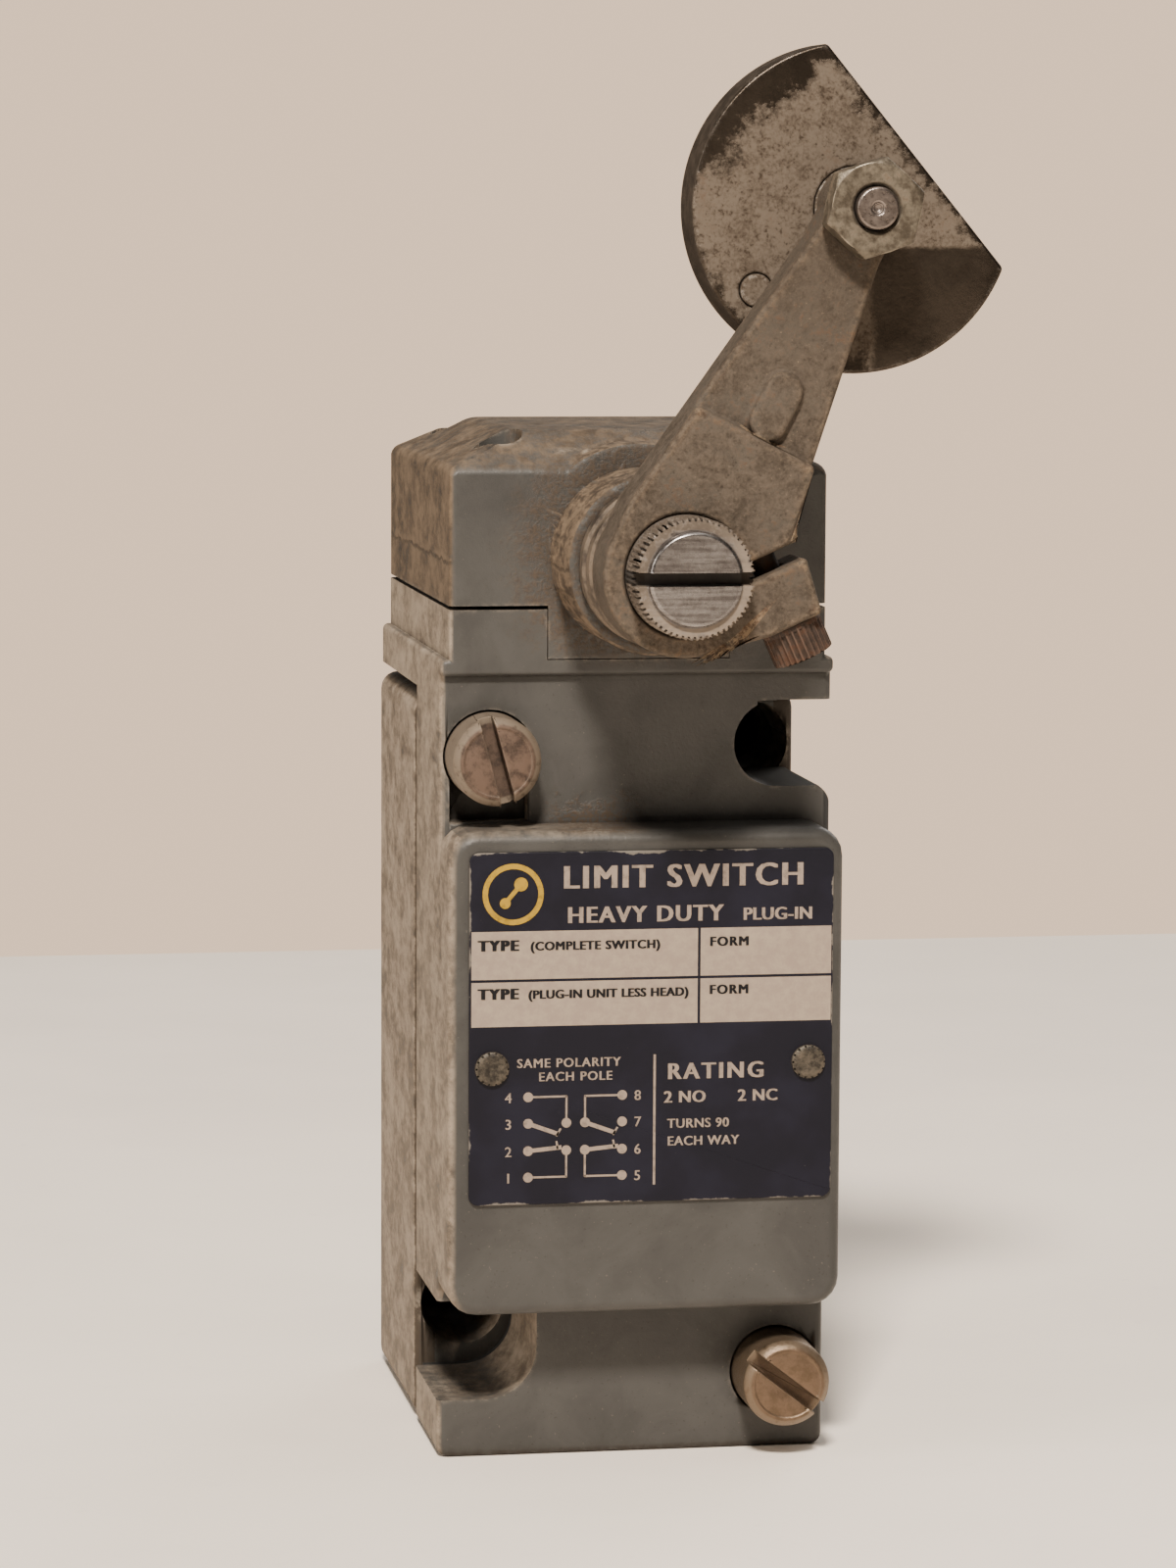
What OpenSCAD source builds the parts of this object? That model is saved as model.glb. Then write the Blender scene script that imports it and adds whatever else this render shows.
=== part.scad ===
// Heavy duty plug-in limit switch with a rotary head, a clamped lever and a cut disc.
// Millimetres. X to the right, Y to the back (the front is -Y), Z up.
// The origin is the middle of the two mounting holes, on the rear mounting face.
// Sizes below are written as heights over the bottom face and depths in front of the rear face.

/* [Receptacle] */
// overall width of the switch
body_w = 40.4; // [36:0.2:46]
// depth of the rear shell that takes the wiring
shell_d = 28.2; // [24:0.2:34]
// height of the rear shell
shell_h = 77.1; // [70:0.1:84]
// wall of the rear shell
shell_wall = 3; // [2:0.1:5]
// sideways spacing of the two mounting holes
mount_dx = 30.2; // [26:0.1:34]
// upright spacing of the two mounting holes
mount_dz = 59.4; // [50:0.1:66]
// height of the lower mounting hole over the bottom
mount_low_z = 12.4; // [11:0.1:14]
// radius of a mounting hole
mount_r = 2.6; // [2:0.1:3]
// radius of the threaded conduit entry
conduit_r = 9.2; // [7:0.1:10]
// length of thread in the conduit entry
conduit_l = 14; // [10:0.5:16]

/* [Plug-in unit] */
// depth of the foot front, from the rear face
foot_d = 45.7; // [43:0.1:49]
// depth of the neck front, from the rear face
neck_d = 46.6; // [44:0.1:50]
// depth of the raised nameplate box
box_d = 53.7; // [50:0.1:58]
// bottom edge of the raised box
box_low = 16.4; // [14:0.1:20]
// top edge of the raised box
box_top = 65.7; // [60:0.1:67]
// corner radius of the raised box
box_r = 3; // [1:0.1:5]
// thickness of the gasket between the shell and the unit
gasket_t = 1; // [0.5:0.1:2]
// width of the nameplate
plate_w = 37.2; // [30:0.1:38]
// height of the nameplate
plate_h = 35.8; // [30:0.1:42]

/* [Head] */
// width of the rotary head
head_w = 38.7; // [34:0.1:40]
// depth of the head front, from the rear face
head_d = 47.6; // [45:0.1:51]
// height of the joint under the head
head_low = 87.7; // [85:0.1:90]
// height of the flat top of the head
head_top = 105.3; // [103:0.1:110]
// height of the outer edge where the bevel starts
bevel_z = 101.7; // [98:0.1:103]
// width of the bevel round the top
bevel_w = 7.2; // [4:0.1:9]
// height of the shaft axis over the bottom
shaft_z = 92.7; // [90:0.1:95]
// radius of the shaft in its bushing
shaft_r = 5; // [4:0.1:6]
// depth of the shaft end, from the rear face
shaft_tip_d = 78.4; // [74:0.1:84]

/* [Lever and disc] */
// distance from the shaft to the disc stud
lever_l = 39.5; // [30:0.5:60]
// angle of the lever, clockwise from upright
lever_angle = 27; // [0:1:60]
// radius of the lever hub
hub_r = 8; // [7:0.1:10]
// thickness of the lever arm
arm_t = 5.7; // [3:0.1:7]
// radius of the disc
disc_r = 16.1; // [10:0.1:20]
// thickness of the disc
disc_t = 6.35; // [4:0.05:8]
// distance from the disc centre to its cut edge
disc_flat = 7.9; // [6:0.1:14]

/* [Hidden] */
$fn = 48;
gap = 0.05;
half_w = body_w / 2;
mount_x = mount_dx / 2;
mount_high_z = mount_low_z + mount_dz;
mount_mid = (mount_low_z + mount_high_z) / 2;
mount_cbore_r = 4.4;
mount_cbore_d = 20;
conduit_y = -shell_d / 2;
cavity_x = half_w - shell_wall;
cavity_top = shell_h - 3.5;
base_screw_z = [21.6, 68.4];
ground_at = [10.5, 18.6];
gasket_inset = 0.9;

// captive screws that hold the plug-in unit, on the other diagonal
screw_high = [-15.1, 72.6];
screw_low = [15.1, 8.1];
screw_r = 2.1;
screw_head_r = 4.5;
screw_pocket_r = 4.75;
screw_seat = -43.6;
screw_face = -52.6;
screw_washer_t = 0.5;

// plug-in unit, front faces are negative y
unit_back = -(shell_d + gasket_t);
unit_wall = 2.5;
flange_low = 78.3;
flange_top = 82.5;
ledge_z = 80.8;
head_back = -1.7;
half_head = head_w / 2;
head_seam = 0.2;
tongue_x = 9.4;
tongue_t = 4;
notch_r = 4.4;
notch_c = [14.5, 73.55];
scoop_r = 5.4;
scoop_c = [-15.3, 11.4];
passage_x = 7.5;
passage_front = -44;
passage_back = -31;
plate_x = 0.4;
plate_top = 63.7;
plate_t = 0.4;
rivet_x = [-15.9, 16.5];
rivet_z = 41.9;

// head
boss_r = 11.6;
collar_r = 9.1;
collar_front = -58;
bushing_r = 6.6;
bushing_flange_r = 8.05;
bushing_front = -64.8;
bushing_back = -44.6;
rear_journal_r = 3;
rear_bearing_r = 4.2;
head_screw_x = 13.4;
head_screw_y = [-40.6, -8.7];
head_screw_low = 80;

// rack and pinion in the head
tooth_module = 0.5;
teeth = 10;
pitch_r = tooth_module * teeth / 2;
pressure = 25;
addendum = 0.4;
dedendum = 0.55;
backlash = 0.07;
pinion_front = -43;
pinion_back = -35.6;
rack_front = -42.6;
rack_back = -36;
rack_x = 6.2;
rack_top = 99;
travel = pitch_r * PI / 2;

// contact chamber in the plug-in unit
block_x = 16.8;
block_low = 19.6;
block_top = 62.6;
block_front = -48.5;
block_plate = -33;
block_back = -29.6;
block_screw_z = [24.3, 59.3];
spring_x = 8;
carrier_low = 31;
carrier_top = 58;
carrier_x = [5.5, 10.5];
carrier_y = [-44, -36.5];
bridge_z = 45.6;
bridge_t = 0.8;
pip_r = 0.9;
pip_h = 0.5;
pip_y = -40;
pip_in = 3.4;
pip_out = 13.2;
contact_gap = travel + 0.07;
strip_t = 0.7;
strip_back = -34;
pin_rows = [28.5, 39.5, 50.5, 61.5];
pin_r = 0.8;
pin_x = 3.4;

// wiring block in the receptacle
wire_block_front = -12;
rib_front = -22;
term_x = 11.2;
bar_t = 0.8;

// lever parts
hub_bore = shaft_r + 0.9;
arm_back = -65.6;
arm_front = arm_back - arm_t;
knurl_teeth = 72;
knurl_cut = 0.16;
hub_front = -72.9;
slit_angle = 24;
slit_w = 1.8;
slit_drop = -2.4;
ear_face = -8.9;
clamp_x = 8;
clamp_y = (hub_front + arm_back) / 2;
clamp_head_r = 3;
clamp_head_h = 3.6;
clamp_r = 1.3;
clamp_teeth = 30;
stud = [lever_l * sin(lever_angle), shaft_z + lever_l * cos(lever_angle)];
stud_r = 2.08;
stud_shoulder_r = 3;
disc_front = -65;
disc_rivet_at = [-9.7, -8];
disc_cut_angle = 39.5;
nut_af = 8.7;
nut_t = 3.2;
nut_back = -71.6;

// ---- helpers ----

// heights are written over the bottom face, the part stands on its mounting centre
module standing() {
    translate([0, 0, -mount_mid]) children();
}

// a flat shape in x and z, drawn out between two depths
module along_y(front, back) {
    translate([0, back, 0])
        rotate([90, 0, 0])
            linear_extrude(back - front) children();
}

module rod(x, z, r, front, back) {
    translate([x, 0, z]) along_y(front, back) circle(r);
}

module block(x, y, z) {
    translate([x[0], y[0], z[0]]) cube([x[1] - x[0], y[1] - y[0], z[1] - z[0]]);
}

// a rectangle in x and z with round corners
module round_rect(x, z, r) {
    translate([x[0] + r, z[0]]) square([x[1] - x[0] - 2 * r, z[1] - z[0]]);
    translate([x[0], z[0] + r]) square([x[1] - x[0], z[1] - z[0] - 2 * r]);
    for (px = [x[0] + r, x[1] - r])
        for (pz = [z[0] + r, z[1] - r])
            translate([px, pz]) circle(r);
}

module slotted_head(r, front, back, slot_w, slot_depth, angle) {
    difference() {
        rod(0, 0, r, front, back);
        rotate([0, -angle, 0])
            block([-slot_w / 2, slot_w / 2], [front - 1, front + slot_depth], [-r - 1, r + 1]);
    }
}

module coil(r, wire, length, turns) {
    linear_extrude(height = length, twist = -360 * turns, slices = 14 * turns, $fn = 8)
        translate([r, 0]) circle(wire, $fn = 8);
}

// ---- receptacle ----

module receptacle_cavity() {
    difference() {
        block([-cavity_x, cavity_x], [-shell_d - 1, -shell_wall], [conduit_l, cavity_top]);
        // columns that keep the mounting holes and the captive screw threads
        rod(mount_x, mount_high_z, 5.9, -shell_d - 2, 0);
        block([mount_x, half_w], [-shell_d - 2, 0], [mount_high_z - 5.9, shell_h]);
        rod(-mount_x, mount_low_z, 5.9, -shell_d - 2, 0);
        block([-half_w, -mount_x], [-shell_d - 2, 0], [conduit_l - 1, mount_low_z + 5.9]);
        rod(screw_high[0], screw_high[1], 4.4, -shell_d - 2, 0);
        block([-half_w, screw_high[0]], [-shell_d - 2, 0], [screw_high[1] - 4.4, shell_h]);
    }
}

module receptacle() {
    color("dimgray") standing() difference() {
        along_y(-shell_d, 0) round_rect([-half_w, half_w], [0, shell_h], 1.2);
        receptacle_cavity();
        translate([0, conduit_y, -1]) cylinder(r = conduit_r, h = conduit_l + 2);
        for (hole = [[mount_x, mount_high_z], [-mount_x, mount_low_z]]) {
            rod(hole[0], hole[1], mount_r, -shell_d - 1, 1);
            rod(hole[0], hole[1], mount_cbore_r, -shell_d - 1, mount_cbore_d - shell_d);
        }
        for (hole = [screw_high, screw_low])
            rod(hole[0], hole[1], screw_r + gap, -shell_d - 1, -10);
        for (z = base_screw_z)
            rod(0, z, 1.15, -shell_wall - 1, -0.8);
        rod(ground_at[0], ground_at[1], 1.55, -shell_wall - 1, -0.8);
    }
}

module receptacle_gasket() {
    color("black") standing() along_y(unit_back, -shell_d) difference() {
        round_rect([-half_w + gasket_inset, half_w - gasket_inset],
                   [gasket_inset, shell_h - gasket_inset], 1);
        translate([-cavity_x + 1, 18]) square([2 * cavity_x - 2, cavity_top - 26]);
        for (hole = [screw_high, screw_low])
            translate(hole) circle(screw_r + 0.2);
        translate([mount_x, mount_high_z]) circle(mount_cbore_r + 0.4);
        translate([mount_x, mount_high_z - 3]) square([6, 10]);
        translate([-mount_x, mount_low_z]) circle(mount_cbore_r + 0.4);
        translate(scoop_c) circle(scoop_r);
        translate([-half_w, scoop_c[1] - scoop_r])
            square([half_w + scoop_c[0], box_low - scoop_c[1] + scoop_r]);
    }
}

module terminal_block() {
    color("sienna") standing() difference() {
        union() {
            block([-15.8, 15.8], [wire_block_front, -shell_wall], [25, 65]);
            block([-3.5, 3.5], [wire_block_front, -shell_wall], [19.2, 70.8]);
            block([-5.6, 5.6], [rib_front, wire_block_front], [25.5, 64.5]);
            // fences between the terminals
            for (side = [-1, 1])
                for (i = [0:2])
                    block([side > 0 ? 5.6 : -15.8, side > 0 ? 15.8 : -5.6],
                          [wire_block_front - 4.5, wire_block_front],
                          [pin_rows[i] + 4.9, pin_rows[i] + 6.1]);
        }
        for (side = [-1, 1])
            for (z = pin_rows) {
                rod(side * pin_x, z, 1.6 + gap, rib_front - 1, wire_block_front);
                translate([side * (pin_x + 2.5), 0, z])
                    block([-3.5, 3.5], [-12.8 - gap, -12], [-2.05, 2.05]);
                rod(side * term_x, z, 1.55, wire_block_front - 1, -5);
            }
        for (z = base_screw_z)
            rod(0, z, 1.25, wire_block_front - 1, 0);
    }
}

module terminal_block_screws() {
    color("silver") standing() for (z = base_screw_z) translate([0, 0, z]) {
        slotted_head(2.4, wire_block_front - 1.6, wire_block_front, 0.7, 0.8, 20);
        rod(0, 0, 1.1, wire_block_front, -0.9);
    }
}

module socket_contacts() {
    color("goldenrod") standing()
        for (side = [-1, 1])
            for (z = pin_rows) translate([0, 0, z]) difference() {
                union() {
                    rod(side * pin_x, 0, 1.6, rib_front, wire_block_front - bar_t);
                    block([side > 0 ? 2.5 : -14.4, side > 0 ? 14.4 : -2.5],
                          [wire_block_front - bar_t, wire_block_front], [-2, 2]);
                }
                rod(side * pin_x, 0, pin_r + gap, rib_front - 1, -14);
                rod(side * term_x, 0, 1.55, -14, -11);
            }
}

module terminal_clamps() {
    color("silver") standing()
        for (side = [-1, 1])
            for (z = pin_rows) translate([side * term_x, 0, z]) difference() {
                block([-3, 3], [wire_block_front - bar_t - 1, wire_block_front - bar_t], [-3, 3]);
                rod(0, 0, 1.55, -15, -12);
            }
}

module terminal_screws() {
    color("lightgray") standing()
        for (side = [-1, 1])
            for (z = pin_rows) translate([side * term_x, 0, z]) {
                slotted_head(2.7, -15.8, -13.8, 0.8, 1, 30);
                rod(0, 0, 1.5, -13.8, -5.5);
            }
}

module ground_screw() {
    color("green") standing() translate([ground_at[0], 0, ground_at[1]]) {
        slotted_head(3, -shell_wall - 2.2, -shell_wall, 0.8, 1, 0);
        rod(0, 0, 1.5, -shell_wall, -0.9);
    }
}

// ---- plug-in unit ----

module unit_outline() {
    // foot
    along_y(-foot_d, unit_back) round_rect([-half_w, half_w], [0, box_low + 4], 1.2);
    // neck up to the ledge
    along_y(-neck_d, unit_back)
        translate([-half_w, box_top - 4]) square([body_w, ledge_z - box_top + 4]);
    // raised box
    along_y(-box_d, unit_back) round_rect([-half_w, half_w], [box_low, box_top], box_r);
    // flange that reaches back over the receptacle
    block([-half_w, half_w], [-neck_d, head_back], [flange_low, ledge_z]);
    block([-half_w, half_w], [-head_d, head_back], [ledge_z, flange_top]);
    block([-half_head, half_head], [-head_d, head_back], [flange_top, head_low - head_seam]);
}

module notch_cut() {
    front = -box_d - 1;
    back = unit_back + 1;
    rod(notch_c[0], notch_c[1], notch_r, front, back);
    block([notch_c[0], half_w + 1], [front, back], [notch_c[1] - notch_r, flange_low - 0.3]);
    block([notch_c[0] - 2, half_w + 1], [front, back], [notch_c[1], notch_c[1] + notch_r]);
    // round shoulder down to the box
    difference() {
        block([16.9, half_w + 1], [front, back], [box_top + 0.6, notch_c[1]]);
        rod(16.9, box_top + 0.6, 3.5, front - 1, back + 1);
    }
}

module scoop_cut() {
    front = -foot_d - 1;
    back = unit_back + 1;
    rod(scoop_c[0], scoop_c[1], scoop_r, front, back);
    block([-half_w - 1, scoop_c[0]], [front, back], [scoop_c[1] - scoop_r, box_low]);
    block([scoop_c[0] - scoop_r, scoop_c[0] + scoop_r], [front, back],
          [scoop_c[1], box_low]);
}

module unit_housing() {
    color("slategray") standing() difference() {
        unit_outline();
        notch_cut();
        scoop_cut();
        // contact chamber, open at the back
        block([-half_w + unit_wall, half_w - unit_wall], [-box_d + unit_wall, unit_back + 1],
              [box_low + unit_wall, box_top - unit_wall]);
        // passage for the racks
        block([-passage_x, passage_x], [passage_front, passage_back], [box_top - 4, head_low]);
        // hollow under the back of the head
        block([-9, 9], [-28, -6], [flange_top, head_low]);
        for (side = [0, 1]) {
            front = side == 0 ? -head_d - 1 : head_back - tongue_t;
            block([-tongue_x, tongue_x], [front, front + tongue_t + 1], [flange_top - 0.1, head_low]);
        }
        for (x = [-head_screw_x, head_screw_x])
            for (y = head_screw_y)
                translate([x, y, head_screw_low - 0.5]) cylinder(r = 1.4 + gap, h = 10);
        for (hole = [screw_high, screw_low]) {
            rod(hole[0], hole[1], screw_r + 0.15, -box_d, unit_back + 1);
            rod(hole[0], hole[1], screw_pocket_r, -box_d - 1, screw_seat);
        }
        // the upper pocket runs down to the top of the box
        block([screw_high[0] - 4.1, screw_high[0] + 4.1], [-box_d - 1, screw_seat],
              [box_top + 0.2, screw_high[1]]);
        for (z = block_screw_z)
            rod(0, z, 1.15, -box_d + 1, -40);
    }
}

module nameplate() {
    color("midnightblue") standing() along_y(-box_d - plate_t, -box_d) difference() {
        translate([plate_x, 0])
            round_rect([-plate_w / 2, plate_w / 2], [plate_top - plate_h, plate_top], 1);
        for (x = rivet_x) translate([x, rivet_z]) circle(1.1);
    }
}

module nameplate_rivets() {
    color("gray") standing() for (x = rivet_x) {
        rod(x, rivet_z, 1.7, -box_d - 1, -box_d - plate_t);
        rod(x, rivet_z, 1.05, -box_d - plate_t, -box_d);
    }
}

module cover_screws() {
    under_head = screw_seat - screw_washer_t;
    color("darkkhaki") standing() {
        translate([screw_high[0], 0, screw_high[1]])
            slotted_head(screw_head_r, screw_face, under_head, 1.4, 2.2, -15);
        translate([screw_low[0], 0, screw_low[1]])
            slotted_head(screw_head_r, screw_face, under_head, 1.4, 2.2, -52);
        for (hole = [screw_high, screw_low])
            rod(hole[0], hole[1], screw_r, under_head, -12);
    }
}

module cover_screw_washers() {
    color("black") standing()
        for (hole = [screw_high, screw_low]) difference() {
            rod(hole[0], hole[1], 4.2, screw_seat - screw_washer_t, screw_seat);
            rod(hole[0], hole[1], screw_r + 0.1, -48, -40);
        }
}

module contact_block() {
    color("saddlebrown") standing() difference() {
        union() {
            block([-block_x, block_x], [block_plate, block_back], [block_low, block_top]);
            for (x = [-block_x, block_x - 1.6])
                block([x, x + 1.6], [block_front, block_plate], [block_low, block_top]);
            block([-block_x, block_x], [block_front, block_plate], [block_low, block_low + 1.9]);
            block([-0.7, 0.7], [block_front, block_plate], [block_low, block_top]);
            for (z = block_screw_z)
                rod(0, z, 2.1, block_front, block_plate);
        }
        for (z = block_screw_z)
            rod(0, z, 1.15, -60, 0);
        for (z = block_screw_z)
            rod(0, z, 2.2, block_back - 1.4, 0);
        for (x = [-pin_x, pin_x])
            for (z = pin_rows)
                rod(x, z, pin_r + gap, -40, 0);
    }
}

module contact_block_cover() {
    color("sienna") standing() difference() {
        block([-block_x, block_x], [block_front - 1.7, block_front], [block_low, block_top]);
        for (z = block_screw_z)
            rod(0, z, 1.2, -60, 0);
    }
}

module contact_block_screws() {
    color("silver") standing() for (z = block_screw_z) translate([0, 0, z]) difference() {
        union() {
            rod(0, 0, 2.1, block_back - 1.4, block_back - 0.1);
            rod(0, 0, 1.1, -52.4, block_back - 1.4);
        }
        block([-3, 3], [block_back - 0.7, block_back + 1], [-0.3, 0.3]);
    }
}

// one fixed contact: arm with a pip, and a strip on the back plate to its pin
module fixed_contact(x, pip_z, arm_z, pin_z) {
    translate([x, pip_y, pip_z]) cylinder(r = pip_r, h = pip_h);
    block([x - 1, x + 1], [pip_y - 1.4, strip_back], [arm_z, arm_z + strip_t]);
    low = min(arm_z, pin_z - 1.3);
    high = max(arm_z + strip_t, pin_z + 1.3);
    difference() {
        union() {
            block([x - 1, x + 1], [strip_back, block_plate], [low, high]);
            block([min(x, pin_x) - 1.3, max(x, pin_x) + 1], [strip_back, block_plate],
                  [pin_z - 1.3, pin_z + 1.3]);
        }
        rod(pin_x, pin_z, pin_r + gap, -50, 0);
    }
}

module fixed_contacts_nc() {
    pip_z = bridge_z + bridge_t / 2 + pip_h + contact_gap;
    color("goldenrod") standing() for (side = [0, 1]) mirror([side, 0, 0]) {
        fixed_contact(pip_in, pip_z, pip_z + pip_h, pin_rows[2]);
        fixed_contact(pip_out, pip_z, pip_z + pip_h, pin_rows[3]);
    }
}

module fixed_contacts_no() {
    pip_z = bridge_z - bridge_t / 2 - 2 * pip_h - contact_gap;
    color("goldenrod") standing() for (side = [0, 1]) mirror([side, 0, 0]) {
        fixed_contact(pip_in, pip_z, pip_z - strip_t, pin_rows[1]);
        fixed_contact(pip_out, pip_z, pip_z - strip_t, pin_rows[0]);
    }
}

module plug_pins() {
    color("gold") standing()
        for (x = [-pin_x, pin_x])
            for (z = pin_rows)
                rod(x, z, pin_r, strip_back, -16);
}

// ---- head ----

module head_bevels() {
    tilt = atan((head_top - bevel_z) / bevel_w);
    for (side = [-1, 1]) {
        translate([side * half_head, 0, bevel_z]) rotate([0, side * tilt, 0])
            block([-30, 30], [-80, 30], [0, 12]);
        y = side < 0 ? -head_d : head_back;
        translate([0, y, bevel_z]) rotate([-side * tilt, 0, 0])
            block([-40, 40], [-30, 30], [0, 12]);
    }
}

module head_housing() {
    low = head_low + head_seam;
    color("slategray") standing() difference() {
        union() {
            difference() {
                block([-half_head, half_head], [-head_d, head_back], [low, head_top]);
                head_bevels();
            }
            for (y = [-head_d, head_back - tongue_t + 0.1])
                block([-tongue_x + 0.1, tongue_x - 0.1], [y, y + tongue_t - 0.1],
                      [flange_top, low]);
            rod(0, shaft_z, boss_r, -head_d, -head_d + 9);
            rod(0, shaft_z, collar_r, collar_front, -head_d);
        }
        // the boss does not reach past the tongue
        block([-boss_r, boss_r], [-head_d - 0.5, -head_d + 12], [70, flange_top]);
        block([-boss_r, boss_r], [-head_d + tongue_t - 0.1, -head_d + 12], [70, low]);
        block([-boss_r - 1, -tongue_x + 0.1], [-head_d - 1, -head_d + 12], [70, low]);
        block([tongue_x - 0.1, boss_r + 1], [-head_d - 1, -head_d + 12], [70, low]);
        // bore for the bushing and the hollow for the racks
        rod(0, shaft_z, bushing_r + 0.01, collar_front - 1, bushing_back);
        block([-8.5, 8.5], [bushing_back, -12], [70, 103]);
        rod(0, shaft_z, rear_bearing_r + 0.01, -13, -5);
        for (x = [-head_screw_x, head_screw_x])
            for (y = head_screw_y) translate([x, y, 0]) {
                translate([0, 0, 80]) cylinder(r = 1.5, h = 30);
                translate([0, 0, 98]) cylinder(r = 2.5, h = 10);
            }
    }
}

module head_gasket() {
    color("black") standing() difference() {
        block([-half_head + 0.5, half_head - 0.5], [-head_d + tongue_t + 0.1, head_back - tongue_t],
              [head_low - head_seam, head_low + head_seam]);
        block([-8.5, 8.5], [-50, -12], [80, 90]);
        for (x = [-head_screw_x, head_screw_x])
            for (y = head_screw_y)
                translate([x, y, 80]) cylinder(r = 1.6, h = 10);
    }
}

module head_screws() {
    color("silver") standing()
        for (x = [-head_screw_x, head_screw_x])
            for (y = head_screw_y) translate([x, y, 0]) difference() {
                union() {
                    translate([0, 0, 98]) cylinder(r = 2.3, h = 2.2);
                    translate([0, 0, head_screw_low]) cylinder(r = 1.4, h = 18);
                }
                block([-3, 3], [-0.4, 0.4], [99.2, 101]);
            }
}

module shaft_bushing() {
    color("darkgoldenrod") standing() difference() {
        union() {
            rod(0, shaft_z, bushing_flange_r, bushing_front, collar_front);
            rod(0, shaft_z, bushing_r, collar_front, bushing_back);
        }
        rod(0, shaft_z, shaft_r + gap, -70, -40);
    }
}

module rear_bearing() {
    color("darkgoldenrod") standing() difference() {
        rod(0, shaft_z, rear_bearing_r, -12, -5);
        rod(0, shaft_z, rear_journal_r + gap, -13, -5.8);
    }
}

// ---- shaft and lever ----

function involute(a) = tan(a) - a * PI / 180;
base_r = pitch_r * cos(pressure);
half_tooth = 90 / teeth - (backlash / 2) / pitch_r * 180 / PI;
function flank(r) = half_tooth + (involute(pressure) - involute(acos(base_r / r))) * 180 / PI;
flank_r = [for (i = [0:4]) base_r + 0.001 + (pitch_r + addendum - base_r - 0.001) * i / 4];

module pinion_shape() {
    circle(pitch_r - dedendum);
    for (i = [0:teeth - 1]) rotate([0, 0, i * 360 / teeth])
        polygon(concat(
            [[1, -0.3], [base_r - 0.3, -0.36]],
            [for (r = flank_r) [r * cos(flank(r)), -r * sin(flank(r))]],
            [for (i = [4:-1:0]) [flank_r[i] * cos(flank(flank_r[i])), flank_r[i] * sin(flank(flank_r[i]))]],
            [[base_r - 0.3, 0.36], [1, 0.3]]));
}

module shaft() {
    color("lightgray") standing() translate([0, 0, shaft_z]) difference() {
        union() {
            rod(0, 0, hub_bore - 0.02, -shaft_tip_d + 0.8, -65.2);
            rod(0, 0, 4.6, -shaft_tip_d, -shaft_tip_d + 1);
            rod(0, 0, shaft_r, -65.2, pinion_front);
            along_y(pinion_front, pinion_back) pinion_shape();
            rod(0, 0, rear_journal_r, pinion_back, -6);
        }
        // fine knurl round the end
        for (i = [0:knurl_teeth - 1]) rotate([0, i * 360 / knurl_teeth, 0]) translate([0, 0, hub_bore])
            rotate([0, 45, 0]) block([-knurl_cut, knurl_cut], [-80, -73], [-knurl_cut, knurl_cut]);
        // screwdriver slot
        block([-7, 7], [-80, -shaft_tip_d + 2], [-0.65, 0.65]);
        // grooves for the retaining ring and the seal
        difference() {
            rod(0, 0, 6, -44.3, -43.6);
            rod(0, 0, 4.2, -45, -43);
        }
        difference() {
            rod(0, 0, 6, -55.6, -54.4);
            rod(0, 0, 4, -56, -54);
        }
    }
}

module shaft_retaining_ring() {
    color("dimgray") standing() translate([0, 0, shaft_z]) difference() {
        rod(0, 0, 6.2, -44.2, -43.7);
        rod(0, 0, 4.25, -45, -43);
        block([-1.6, 1.6], [-45, -43], [-7, 0]);
    }
}

module shaft_seal() {
    color("black") standing() translate([0, -55, shaft_z]) rotate([90, 0, 0])
        rotate_extrude() translate([4.5, 0]) circle(0.48);
}

// the arm narrows evenly from the hub to the stud
module arm_shape() {
    wide = hub_r + 0.1;
    narrow = 3.5;
    circle(hub_r);
    translate([0, lever_l]) circle(4);
    polygon([[-wide, 4], [-narrow, lever_l - 4.5], [narrow, lever_l - 4.5], [wide, 5],
             [wide, -1], [-hub_r + 0.02, 0]]);
    translate([-narrow, lever_l - 6]) square([2 * narrow, 6]);
}

// clamp ears to the right of the hub, in a frame whose x runs out along the slit
module ear_shape() {
    polygon([[0, -hub_r], [5.2, ear_face], [10.8, ear_face], [11.5, slit_drop - slit_w / 2],
             [11.5, slit_drop + slit_w / 2], [11.8, 0.3], [14.2, 3.4], [10, 8], [0, hub_r]]);
}

module ear_frame() {
    rotate([0, -slit_angle, 0]) children();
}

module lever() {
    color("rosybrown") standing() translate([0, 0, shaft_z]) difference() {
        union() {
            rotate([0, lever_angle, 0]) {
                along_y(arm_front, arm_back) arm_shape();
                along_y(hub_front, arm_back) intersection() {
                    arm_shape();
                    translate([-20, -20]) square([40, 35]);
                }
                // raised pad on the arm
                along_y(arm_front - 1, arm_front) translate([0.6, 18.4]) {
                    translate([-1.9, -1.6]) square([3.8, 3.2]);
                    for (end = [-1.6, 1.6]) translate([0, end]) circle(1.9);
                }
            }
            ear_frame() along_y(hub_front, arm_back) ear_shape();
        }
        rod(0, 0, hub_bore, -80, -60);
        rotate([0, lever_angle, 0]) rod(0, lever_l, stud_r + gap, -80, -60);
        ear_frame() {
            block([4.4, 16], [-80, -60], [slit_drop - slit_w / 2, slit_drop + slit_w / 2]);
            translate([clamp_x, clamp_y, ear_face - 1])
                cylinder(r = clamp_r + gap, h = 14);
        }
    }
}

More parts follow.
